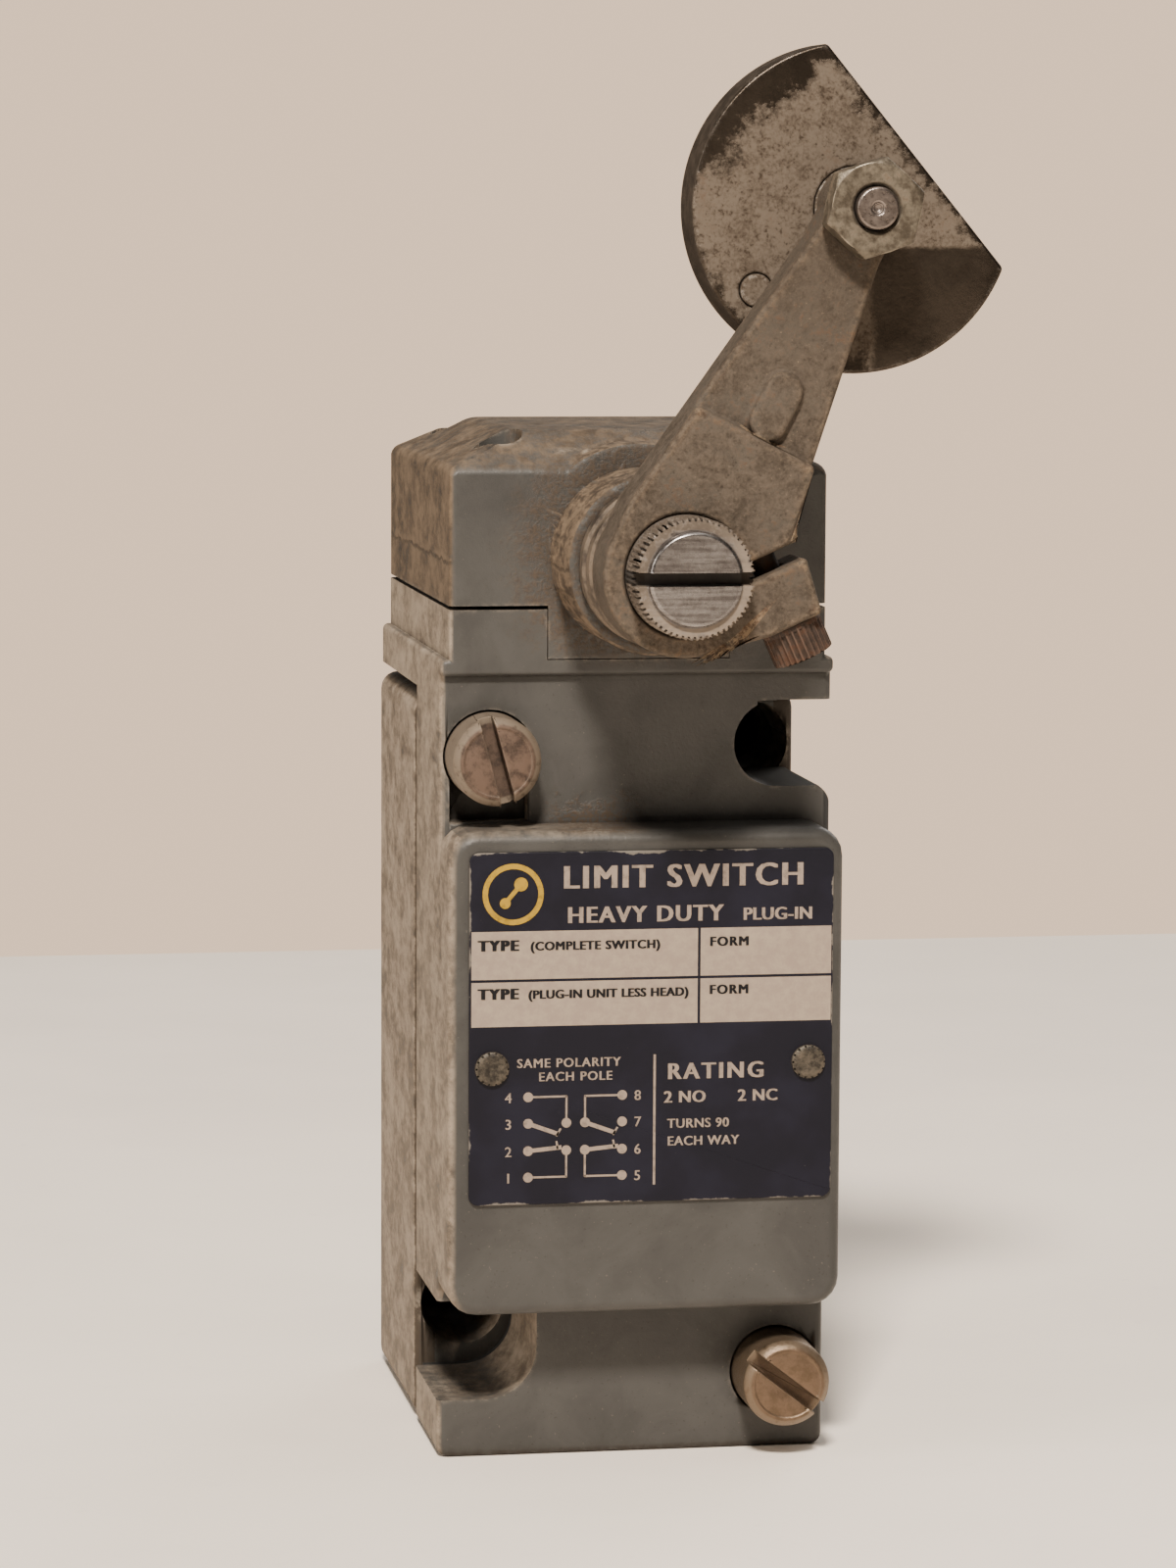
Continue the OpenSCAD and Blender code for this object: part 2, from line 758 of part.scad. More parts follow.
module clamp_screw() {
    color("sienna") standing() translate([0, 0, shaft_z]) ear_frame()
        translate([clamp_x, clamp_y, ear_face]) difference() {
            union() {
                translate([0, 0, -clamp_head_h]) cylinder(r = clamp_head_r, h = clamp_head_h);
                cylinder(r = clamp_r, h = 12.5);
            }
            // knurl round the head
            for (i = [0:clamp_teeth - 1]) rotate([0, 0, i * 360 / clamp_teeth])
                translate([clamp_head_r, 0, -clamp_head_h - 1])
                rotate([0, 0, 45]) translate([-0.2, -0.2, 0]) cube([0.4, 0.4, clamp_head_h + 0.4]);
            // hexagon socket
            translate([0, 0, -clamp_head_h - 1]) cylinder(r = 1.5, h = 2.6, $fn = 6);
        }
}

module disc_stud() {
    color("silver") standing() translate([stud[0], 0, stud[1]]) difference() {
        union() {
            rod(0, 0, 4.8, -58.3, -56.4);
            rod(0, 0, stud_shoulder_r, arm_back, -58.3);
            rod(0, 0, stud_r, -75.5, arm_back);
        }
        rod(0, 0, 0.5, -76, -75.1);
    }
}

module stud_nut() {
    color("gray") standing() translate([stud[0], 0, stud[1]]) difference() {
        rotate([0, 12, 0]) along_y(nut_back - nut_t, nut_back)
            circle(r = nut_af / 2 / cos(30), $fn = 6);
        rod(0, 0, stud_r + 0.02, -80, -70);
    }
}

module lock_washer() {
    color("gray") standing() translate([stud[0], 0, stud[1]]) difference() {
        rod(0, 0, 4.2, nut_back, arm_front);
        rod(0, 0, stud_r + 0.1, -73, -70);
    }
}

// ---- disc ----

module disc() {
    color("silver") standing() translate([stud[0], 0, stud[1]]) difference() {
        rod(0, 0, disc_r, disc_front, disc_front + disc_t);
        // cut edge, its normal points up and to the right
        rotate([0, -disc_cut_angle, 0])
            block([disc_flat, 30], [-80, -50], [-30, 30]);
        rod(0, 0, stud_shoulder_r + 1, -80, -50);
        rod(disc_rivet_at[0], disc_rivet_at[1], 1.65, -80, -50);
    }
}

module disc_bushing() {
    color("darkgoldenrod") standing() translate([stud[0], 0, stud[1]]) difference() {
        rod(0, 0, stud_shoulder_r + 1, disc_front - 0.2, disc_front + disc_t + 0.1);
        rod(0, 0, stud_shoulder_r + gap, -80, -50);
    }
}

module disc_rivet() {
    color("gray") standing() translate([stud[0], 0, stud[1]])
        rod(disc_rivet_at[0], disc_rivet_at[1], 1.63, disc_front - 0.2, disc_front + disc_t);
}

// ---- racks and contacts, written for the right side ----

module rack() {
    pitch = PI * tooth_module;
    flank_in = addendum * tan(pressure);
    flank_out = dedendum * tan(pressure);
    tooth = pitch / 4 - backlash / 2;
    color("silver") standing() union() {
        block([pitch_r + dedendum, rack_x], [rack_front, rack_back], [carrier_top, rack_top]);
        for (i = [-4:3]) translate([pitch_r, 0, shaft_z + (i + 0.5) * pitch])
            along_y(rack_front, rack_back)
                polygon([[dedendum + 0.2, -tooth - flank_out], [dedendum, -tooth - flank_out],
                         [-addendum, -tooth + flank_in], [-addendum, tooth - flank_in],
                         [dedendum, tooth + flank_out], [dedendum + 0.2, tooth + flank_out]]);
    }
}

module carrier() {
    color("ivory") standing() difference() {
        union() {
            block(carrier_x, carrier_y, [carrier_low, carrier_top]);
            block([pitch_r + dedendum, carrier_x[1]], [rack_front, rack_back],
                  [carrier_top - 1.7, carrier_top]);
        }
        block([0, 20], [-42.5, -37.5], [42, 49.2]);
    }
}

module bridge() {
    color("gold") standing() {
        block([pip_in - 1.2, pip_out + 1.2], [-41.2, -38.8],
              [bridge_z - bridge_t / 2, bridge_z + bridge_t / 2]);
        for (x = [pip_in, pip_out])
            for (z = [bridge_z - bridge_t / 2 - pip_h, bridge_z + bridge_t / 2])
                translate([x, pip_y, z]) cylinder(r = pip_r, h = pip_h);
    }
}

module contact_springs() {
    color("silver") standing()
        for (z = [42.05, bridge_z + bridge_t / 2 + 0.05])
            translate([spring_x, pip_y, z]) coil(1.3, 0.25, 3, 3);
}

module return_spring() {
    floor_z = block_low + 1.9;
    color("silver") standing()
        translate([spring_x, pip_y, floor_z + 0.05])
            coil(2, 0.35, carrier_low - floor_z - 0.1, 5);
}

module rack_right() rack();
module carrier_right() carrier();
module bridge_right() bridge();
module contact_springs_right() contact_springs();
module return_spring_right() return_spring();
module rack_left() mirror([1, 0, 0]) rack();
module carrier_left() mirror([1, 0, 0]) carrier();
module bridge_left() mirror([1, 0, 0]) bridge();
module contact_springs_left() mirror([1, 0, 0]) contact_springs();
module return_spring_left() mirror([1, 0, 0]) return_spring();

receptacle();
receptacle_gasket();
terminal_block();
terminal_block_screws();
socket_contacts();
terminal_clamps();
terminal_screws();
ground_screw();
unit_housing();
nameplate();
nameplate_rivets();
cover_screws();
cover_screw_washers();
contact_block();
contact_block_cover();
contact_block_screws();
fixed_contacts_nc();
fixed_contacts_no();
plug_pins();
head_housing();
head_gasket();
head_screws();
shaft_bushing();
rear_bearing();
shaft();
shaft_retaining_ring();
shaft_seal();
lever();
clamp_screw();
disc_stud();
stud_nut();
lock_washer();
disc();
disc_bushing();
disc_rivet();
rack_right();
carrier_right();
bridge_right();
contact_springs_right();
return_spring_right();
rack_left();
carrier_left();
bridge_left();
contact_springs_left();
return_spring_left();
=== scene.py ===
import bpy
import math
from mathutils import Matrix, Vector


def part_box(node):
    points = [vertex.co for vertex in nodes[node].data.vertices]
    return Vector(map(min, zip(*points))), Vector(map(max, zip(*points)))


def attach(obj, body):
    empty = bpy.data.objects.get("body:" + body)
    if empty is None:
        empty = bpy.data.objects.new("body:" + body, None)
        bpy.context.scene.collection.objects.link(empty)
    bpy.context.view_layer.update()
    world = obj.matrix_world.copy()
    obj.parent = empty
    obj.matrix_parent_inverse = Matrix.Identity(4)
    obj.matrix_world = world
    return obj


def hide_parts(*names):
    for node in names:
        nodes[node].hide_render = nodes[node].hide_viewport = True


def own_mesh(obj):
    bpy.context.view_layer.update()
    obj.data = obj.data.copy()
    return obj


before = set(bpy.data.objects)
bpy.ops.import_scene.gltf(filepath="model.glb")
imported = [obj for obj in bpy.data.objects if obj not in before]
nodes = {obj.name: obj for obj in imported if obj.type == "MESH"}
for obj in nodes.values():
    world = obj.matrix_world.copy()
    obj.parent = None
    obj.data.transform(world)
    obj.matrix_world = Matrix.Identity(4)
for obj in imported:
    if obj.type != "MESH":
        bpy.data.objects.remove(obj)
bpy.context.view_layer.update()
mm = 0.001
tiny = 0.001 * mm

# Places worked out from the frame. Heights in mm are counted from the bottom face,
# depths in mm are counted forwards (negative y) from the rear mounting face.
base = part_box("receptacle")[0].z
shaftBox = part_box("shaft")
shaftHeight = (shaftBox[0].z + shaftBox[1].z) / 2 / mm - base / mm
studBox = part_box("disc_stud")
studX = (studBox[0].x + studBox[1].x) / 2 / mm
studHeight = (studBox[0].z + studBox[1].z) / 2 / mm - base / mm


def place(x, y, height):
    return Vector((x * mm, y * mm, base + height * mm))


# ---------- mesh helpers ----------

def only(*objects):
    if bpy.context.object and bpy.context.object.mode != "OBJECT":
        bpy.ops.object.mode_set(mode="OBJECT")
    bpy.ops.object.select_all(action="DESELECT")
    for obj in objects:
        obj.select_set(True)
    bpy.context.view_layer.objects.active = objects[0]
    return objects[0]


def newPiece(name):
    piece = bpy.context.object
    piece.name = name
    piece.data.name = name
    bpy.ops.object.transform_apply(location=True, rotation=True, scale=True)
    return piece


def addBox(name, x, y, height):
    bpy.ops.object.select_all(action="DESELECT")
    middle = [(a + b) / 2 for a, b in (x, y, height)]
    bpy.ops.mesh.primitive_cube_add(size=1, location=place(*middle))
    bpy.context.object.scale = [(b - a) * mm for a, b in (x, y, height)]
    return newPiece(name)


def addRod(name, x, height, radius, front, back, sides=96):
    bpy.ops.object.select_all(action="DESELECT")
    bpy.ops.mesh.primitive_cylinder_add(
        vertices=sides, radius=radius * mm, depth=(back - front) * mm,
        location=place(x, (front + back) / 2, height), rotation=(math.radians(90), 0, 0))
    return newPiece(name)


def turned(name, x, height, steps, sides=96):
    # a lathe shape along y: a disc is extruded and scaled through (depth, radius) steps
    bpy.ops.object.select_all(action="DESELECT")
    depth, radius = steps[0]
    centre = place(x, 0, height)
    bpy.ops.mesh.primitive_circle_add(
        vertices=sides, radius=radius * mm, fill_type="NGON",
        location=place(x, depth, height), rotation=(math.radians(90), 0, 0))
    bpy.ops.object.mode_set(mode="EDIT")
    bpy.ops.mesh.select_all(action="SELECT")
    for nextDepth, nextRadius in steps[1:]:
        bpy.ops.mesh.extrude_region_move(
            TRANSFORM_OT_translate={"value": (0, (nextDepth - depth) * mm, 0)})
        ratio = nextRadius / radius
        bpy.ops.transform.resize(value=(ratio, 1, ratio), center_override=centre)
        depth, radius = nextDepth, nextRadius
    bpy.ops.mesh.select_all(action="SELECT")
    bpy.ops.mesh.remove_doubles(threshold=tiny)
    bpy.ops.mesh.normals_make_consistent(inside=False)
    bpy.ops.object.mode_set(mode="OBJECT")
    return newPiece(name)


def workCopy(node, name):
    # a merged copy of a CAD node, with its flat faces made whole
    source = nodes[node]
    piece = bpy.data.objects.new(name, source.data.copy())
    bpy.context.scene.collection.objects.link(piece)
    only(piece)
    bpy.ops.object.mode_set(mode="EDIT")
    bpy.ops.mesh.select_all(action="SELECT")
    bpy.ops.mesh.remove_doubles(threshold=2 * tiny)
    bpy.ops.mesh.normals_make_consistent(inside=False)
    bpy.ops.mesh.dissolve_limited(angle_limit=math.radians(0.5))
    bpy.ops.object.mode_set(mode="OBJECT")
    return piece


def applyModifier(piece, kind, **settings):
    only(piece)
    modifier = piece.modifiers.new("work", kind)
    for key, value in settings.items():
        setattr(modifier, key, value)
    bpy.ops.object.modifier_apply(modifier=modifier.name)
    return piece


def combine(piece, tool, operation):
    applyModifier(piece, "BOOLEAN", object=tool, operation=operation, solver="EXACT")
    bpy.data.objects.remove(tool)
    return piece


def cut(piece, tool):
    return combine(piece, tool, "DIFFERENCE")


def fuse(piece, tool):
    return combine(piece, tool, "UNION")


def roundEdges(piece, width, segments=3, angle=32):
    applyModifier(piece, "BEVEL", width=width * mm, segments=segments, limit_method="ANGLE",
                  angle_limit=math.radians(angle), use_clamp_overlap=False)
    return evenShade(piece)


def smooth(piece, angle=32):
    only(piece)
    bpy.ops.object.shade_smooth_by_angle(angle=math.radians(angle))
    return piece


def pickEdges(piece, test):
    # opens edit mode with the edges chosen whose two ends pass the test
    only(piece)
    bpy.context.tool_settings.mesh_select_mode = (False, True, False)
    mesh = piece.data
    for item in (*mesh.vertices, *mesh.polygons):
        item.select = False
    for edge in mesh.edges:
        edge.select = test(*[mesh.vertices[index].co for index in edge.vertices])
    bpy.ops.object.mode_set(mode="EDIT")


def pickFaces(piece, test):
    only(piece)
    bpy.context.tool_settings.mesh_select_mode = (False, False, True)
    mesh = piece.data
    for item in (*mesh.vertices, *mesh.edges):
        item.select = False
    for face in mesh.polygons:
        face.select = test(face)
    bpy.ops.object.mode_set(mode="EDIT")


def roundBlock(x, y, height, corner, front, back=0):
    # a block with round corners seen from the front, then softer front and back edges
    piece = addBox("round_block", x, y, height)
    if corner:
        pickEdges(piece, lambda a, b: abs(a.y - b.y) > mm)
        bpy.ops.mesh.bevel(offset=corner * mm, segments=5, affect="EDGES")
        bpy.ops.object.mode_set(mode="OBJECT")
    for radius, depth in ((front, y[0]), (back, y[1])):
        if radius:
            pickEdges(piece, lambda a, b: abs(a.y - depth * mm) < tiny and abs(b.y - depth * mm) < tiny)
            bpy.ops.mesh.bevel(offset=radius * mm, segments=4, affect="EDGES")
            bpy.ops.object.mode_set(mode="OBJECT")
    return piece


def evenShade(piece, angle=35):
    # smooth shading that leaves the large flat faces flat
    smooth(piece, angle)
    return applyModifier(piece, "WEIGHTED_NORMAL", keep_sharp=True)


def turn(piece, degrees, x, height):
    # turns a piece clockwise, seen from the front, about a line along y
    centre = place(x, 0, height)
    piece.data.transform(Matrix.Translation(centre) @ Matrix.Rotation(math.radians(degrees), 4, "Y")
                         @ Matrix.Translation(-centre))
    return piece


def finishPiece(piece, body, material, slot, *replaced):
    piece.data.materials.clear()
    piece.data.materials.append(material)
    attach(piece, body)
    if replaced:
        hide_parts(*replaced)
    return piece


def joinAll(pieces, name):
    only(*pieces)
    bpy.ops.object.join()
    piece = bpy.context.object
    piece.name = name
    piece.data.name = name
    return piece


# ---------- shader helpers ----------

class Val:
    # wraps a socket, so that sums on sockets read as plain arithmetic
    def __init__(self, tree, socket):
        self.tree = tree
        self.socket = socket

    def math(self, operation, other=None, swap=False):
        node = self.tree.nodes.new("ShaderNodeMath")
        node.operation = operation
        pair = (other, self) if swap else (self, other)
        for slot, value in zip(node.inputs, pair):
            if isinstance(value, Val):
                self.tree.links.new(value.socket, slot)
            elif value is not None:
                slot.default_value = value
        return Val(self.tree, node.outputs[0])

    def __add__(self, other):
        return self.math("ADD", other)

    def __radd__(self, other):
        return self.math("ADD", other, True)

    def __sub__(self, other):
        return self.math("SUBTRACT", other)

    def __rsub__(self, other):
        return self.math("SUBTRACT", other, True)

    def __mul__(self, other):
        return self.math("MULTIPLY", other)

    def __rmul__(self, other):
        return self.math("MULTIPLY", other, True)

    def __truediv__(self, other):
        return self.math("DIVIDE", other)

    def __rtruediv__(self, other):
        return self.math("DIVIDE", other, True)

    def __gt__(self, other):
        return self.math("GREATER_THAN", other)

    def __lt__(self, other):
        return self.math("LESS_THAN", other)

    def __abs__(self):
        return self.math("ABSOLUTE")

    def least(self, other):
        return self.math("MINIMUM", other)

    def most(self, other):
        return self.math("MAXIMUM", other)

    def clear(self):
        return self.most(0.0).least(1.0)


class Paint:
    # one material under construction
    def __init__(self, name):
        self.material = bpy.data.materials.new(name)
        self.material.use_nodes = True
        self.tree = self.material.node_tree
        self.shader = self.tree.nodes["Principled BSDF"]
        coords = self.tree.nodes.new("ShaderNodeTexCoord")
        self.place = Val(self.tree, coords.outputs["Object"])
        self.facing = self.split(Val(self.tree, coords.outputs["Normal"]))
        self.at = self.split(self.place)

    def node(self, kind, settings=None, inputs=None, out=0):
        node = self.tree.nodes.new(kind)
        for key, value in (settings or {}).items():
            setattr(node, key, value)
        for key, value in (inputs or {}).items():
            if isinstance(value, Val):
                self.tree.links.new(value.socket, node.inputs[key])
            else:
                node.inputs[key].default_value = value
        return Val(self.tree, node.outputs[out])

    def split(self, vector):
        node = self.tree.nodes.new("ShaderNodeSeparateXYZ")
        self.tree.links.new(vector.socket, node.inputs[0])
        return [Val(self.tree, output) for output in node.outputs]

    def noise(self, size, detail=4.0, rough=0.55, stretch=(1, 1, 1), warp=0.0):
        # size is the width of one blotch in mm
        where = self.node("ShaderNodeMapping", {}, {"Vector": self.place, "Scale": stretch})
        return self.node("ShaderNodeTexNoise", {}, {
            "Vector": where, "Scale": 1 / (size * mm), "Detail": detail,
            "Roughness": rough, "Distortion": warp})

    def step(self, value, low, high):
        # 0 under low, 1 over high, and soft between
        return self.node("ShaderNodeMapRange", {"interpolation_type": "SMOOTHSTEP"}, {
            "Value": value, "From Min": low, "From Max": high})

    def mix(self, factor, first, second):
        node = self.tree.nodes.new("ShaderNodeMix")
        node.data_type = "RGBA"
        for index, value in ((0, factor), (6, first), (7, second)):
            if isinstance(value, Val):
                self.tree.links.new(value.socket, node.inputs[index])
            elif index:
                node.inputs[index].default_value = (*value, 1) if len(value) == 3 else value
            else:
                node.inputs[index].default_value = value
        return Val(self.tree, node.outputs[2])

    def hollow(self, distance):
        # 1 deep in corners, 0 in the open
        return 1.0 - self.node("ShaderNodeAmbientOcclusion", {"samples": 6},
                               {"Distance": distance * mm}, 1)

    def edge(self, distance):
        # 1 on outer edges, 0 on flats
        return 1.0 - self.node("ShaderNodeAmbientOcclusion", {"samples": 6, "inside": True},
                               {"Distance": distance * mm}, 1)

    def away(self, x, height):
        # distance in mm from a line along y
        across = self.at[0] / mm - x
        up = self.at[2] / mm - (base / mm + height)
        return (across * across + up * up).math("SQRT")

    def use(self, **sockets):
        for key, value in sockets.items():
            name = {"color": "Base Color", "roughness": "Roughness", "metallic": "Metallic",
                    "normal": "Normal", "coat": "Coat Weight"}[key]
            if isinstance(value, Val):
                self.tree.links.new(value.socket, self.shader.inputs[name])
            elif key == "color":
                self.shader.inputs[name].default_value = (*value, 1)
            else:
                self.shader.inputs[name].default_value = value

    def hold(self, name, value):
        # a number or colour that is the same all over
        self.shader.inputs[name].default_value = value

    def bump(self, height, strength, distance):
        return self.node("ShaderNodeBump", {}, {
            "Height": height, "Strength": strength, "Distance": distance * mm})


# ---------- materials ----------

housingLook = {
    "paint": (0.058, 0.0565, 0.053),
    "paintDark": (0.039, 0.038, 0.0355),
    "dust": (0.128, 0.098, 0.071),
    "paleDust": (0.30, 0.247, 0.190),
    "soilAndShade": (0.018, 0.013, 0.009),
    "bareEdgeAndHighlight": (0.24, 0.205, 0.165),
    "sideDust": 0.97,
    "topDust": 0.75,
    "dirt": (0.062, 0.043, 0.028),
    "grime": (0.040, 0.028, 0.019),
    "chip": (0.17, 0.145, 0.115),
    "headFoot": 81.0,   # height where the dirt of the head starts
    "boxTop": 65.2,     # height of the shelf on top of the raised box
    "bossRadius": 11.9,
    "dirtRadius": 15.5,  # reach of the dirt round the boss
    "joint": -28.3,     # depth of the joint between shell and unit
    "jointTop": 77.5,
    "jointSide": 18.0,  # the joint shows further out than this
    "crack": 0,         # height of an uneven line in the caked dust of the left side, 0 for none
}
headLook = dict(housingLook, dust=(0.050, 0.034, 0.021), paleDust=(0.150, 0.108, 0.071), topDust=0.95,
                crack=92.2)
shellLook = dict(housingLook, dust=(0.120, 0.090, 0.063), paleDust=(0.30, 0.245, 0.19),
                 soilAndShade=(0.035, 0.026, 0.018))


def castPaint(name, look):
    # grey enamel on a casting, with dust on the left and the top and soil with painted shade in the
    # corners
    p = Paint(name)
    fine = p.noise(0.35, 3, 0.6)
    grain = p.noise(1.3, 6, 0.7)
    blotch = p.noise(8, 5, 0.6, warp=0.5)
    smear = p.noise(2.6, 6, 0.68, (1, 0.45, 0.6), 0.3)
    patch = p.noise(1.1, 5, 0.7, (1, 0.5, 1))
    hollow = p.step(p.hollow(3.5), 0.25, 0.8)
    edge = p.step(p.edge(0.8), 0.30, 0.62)
    high = p.at[2] / mm - base / mm
    across = p.at[0] / mm
    paint = p.mix(p.step(blotch, 0.32, 0.72), look["paint"], look["paintDark"])
    paint = p.mix(p.step(fine, 0.685, 0.72) * 0.35, paint, look["chip"])
    paint = p.mix(p.step(fine, 0.35, 0.30) * 0.35, paint, look["soilAndShade"])
    left = p.step(p.facing[0] * -1.0, 0.30, 0.85)
    front = p.step(p.facing[1] * -1.0, 0.2, 0.7)
    top = p.step(p.facing[2], 0.25, 0.85)
    # dust lies on the head, and on the left half of what is under it
    foot = look["headFoot"]
    settle = (p.step(high, foot - 3.0, foot) + p.step(across * -1.0, -2.0, 8.0) * 0.7).clear()
    side = left * look["sideDust"] * p.step(patch * 0.5 + smear * 0.5, 0.25, 0.50)
    over = top * settle * look["topDust"] * p.step(grain * 0.7 + blotch * 0.3, 0.30, 0.62)
    # brown dirt round the boss
    away = p.away(0, shaftHeight)
    above = p.step(high, foot, foot + 3.0)
    ring = p.step(look["dirtRadius"] - away + (grain - 0.5) * 9.0, 0.0, 6.0) * above
    ring = ring * front * p.step(fine * 0.4 + grain * 0.6, 0.38, 0.58) * 0.8
    dusty = (side + over).clear()
    dust = p.mix(p.step(smear * 0.6 + patch * 0.4, 0.36, 0.64), look["dust"], look["paleDust"])
    dust = p.mix(p.step(fine * 0.6 + grain * 0.4, 0.42, 0.34) * 0.5, dust, look["dirt"])
    color = p.mix(dusty, paint, dust)
    # a darker speckled patch on the neck, just over the raised box
    shelf = high - look["boxTop"]
    corner = p.step(3.7 - shelf + (grain - 0.5) * 9.0, 0.0, 2.5) * p.step(shelf, 0.0, 0.6)
    corner = corner * p.step(6.0 - abs(across + 4.5) + (grain - 0.5) * 4.0, 0.0, 4.0) * (shelf < 7.8)
    speckled = p.mix(p.step(fine, 0.42, 0.56), look["grime"], look["dirt"])
    color = p.mix((ring + corner * p.step(fine, 0.42, 0.55) * 0.9).clear(), color, speckled)
    # grime on the round boss and collar, in dark and light brown
    boss = (away < look["bossRadius"]) * above * (1.0 - front)
    grime = p.mix(p.step(patch * 0.6 + smear * 0.4, 0.42, 0.58), look["grime"], look["paleDust"])
    color = p.mix(boss * 0.85, color, grime)
    # soil and painted shade: darker deep in the corners and recesses
    soilAndShade = (hollow * p.step(grain, 0.2, 0.6) * 0.85).clear()
    # painted shade: a dark line along the joint between shell and unit, where the gap lies in shadow
    jointShadeLine = p.step(abs(p.at[1] / mm - look["joint"]) + (patch - 0.5) * 0.6, 1.0, 0.65)
    jointShadeLine = jointShadeLine * (high < look["jointTop"]) * (abs(across) > look["jointSide"])
    soilAndShade = (soilAndShade + jointShadeLine * 0.9).clear()
    if look["crack"]:
        uneven = high - look["crack"] + (blotch - 0.5) * 1.6 + (patch - 0.5) * 1.0
        crack = left * p.step(abs(uneven), 0.30, 0.05) * p.step(smear, 0.38, 0.52)
        soilAndShade = (soilAndShade + crack * 0.6).clear()
        ridge = left * p.step(uneven, 0.1, 0.35) * p.step(uneven, 1.0, 0.5) * 0.55
        color = p.mix(ridge * p.step(patch, 0.35, 0.5), color, look["paleDust"])
    # the soil, the painted shade and the cracks in the caked dust go on here
    color = p.mix(soilAndShade, color, look["soilAndShade"])
    # worn bare edges, with a painted highlight added on the edges of the boss and collar
    wornEdgeAndHighlight = (edge * p.step(grain, 0.44, 0.60) * (0.6 + boss * 0.4)).clear()
    color = p.mix(wornEdgeAndHighlight, color, look["bareEdgeAndHighlight"])
    height = grain * 0.4 + patch * 0.3 + fine * 0.3 + dusty * 0.35 + (ring + corner) * 0.5 - soilAndShade * 0.5
    p.use(color=color, roughness=(0.40 + (dusty + ring + boss).clear() * 0.42 + soilAndShade * 0.3).clear(),
          normal=p.bump(height, 0.5, 0.16))
    p.hold("Specular IOR Level", 0.3)
    return p.material


def metal(name, light, dark, rust=None, rustShare=0.0, rough=0.4, grainSize=1.2, metallic=0.8, bump=0.25,
          soilAndShadeShare=0.5):
    # worn metal: two tones, patches of rust or dust, soil with painted shade in the corners, and lighter
    # edges that are wear with painted highlight
    p = Paint(name)
    grain = p.noise(grainSize, 5, 0.65)
    blotch = p.noise(grainSize * 5, 4, 0.6)
    fine = p.noise(grainSize * 0.3, 2)
    hollow = p.step(p.hollow(2.5), 0.2, 0.8)
    edge = p.step(p.edge(0.5), 0.28, 0.6)
    tone = p.mix(p.step(grain * 0.5 + blotch * 0.5, 0.38, 0.62), dark, light)
    rusty = 0.0
    if rust:
        rusty = p.step(grain * 0.55 + blotch * 0.45, 0.62 - rustShare * 0.35, 0.78 - rustShare * 0.35)
        tone = p.mix(rusty, tone, rust)
    # lighter edges: wear, and painted highlight
    tone = p.mix(edge * 0.5, tone, [min(1.0, c * 1.8) for c in light])
    # soil and painted shade, darker deep in the hollows
    soilAndShade = hollow * soilAndShadeShare
    tone = p.mix(soilAndShade, tone, [c * 0.25 for c in dark])
    p.use(color=tone, roughness=(rough + (grain - 0.5) * 0.25 + soilAndShade * 0.3 + rusty * 0.3).clear(),
          metallic=(metallic - soilAndShade * 0.5 - rusty * 0.7).clear(),
          normal=p.bump(grain * 0.6 + fine * 0.4, bump, 0.15))
    return p.material


def moulding(name, colour, rough=0.5, speck=0.15):
    # filled moulding compound: slight cloud, fine flecks, a soft sheen
    p = Paint(name)
    cloud = p.noise(6, 3)
    fleck = p.noise(0.35, 2, 0.7)
    tone = p.mix(p.step(cloud, 0.3, 0.7), colour, [c * 0.7 for c in colour])
    tone = p.mix(p.step(fleck, 0.62, 0.75) * speck * 2, tone, [min(1, c * 2.2 + 0.02) for c in colour])
    p.use(color=tone, roughness=rough + (cloud - 0.5) * 0.2,
          normal=p.bump(fleck, 0.1, 0.05))
    return p.material


leverLook = {
    "dark": (0.022, 0.015, 0.010),
    "middle": (0.047, 0.036, 0.026),
    "light": (0.096, 0.076, 0.058),
    "grey": (0.072, 0.062, 0.050),
    "rust": (0.095, 0.045, 0.020),
    "rim": (0.235, 0.170, 0.105),
    "soilAndShade": (0.022, 0.016, 0.011),
    "fade": (24, 8),    # the arm darkens towards the stud, from the first radius to the second
}


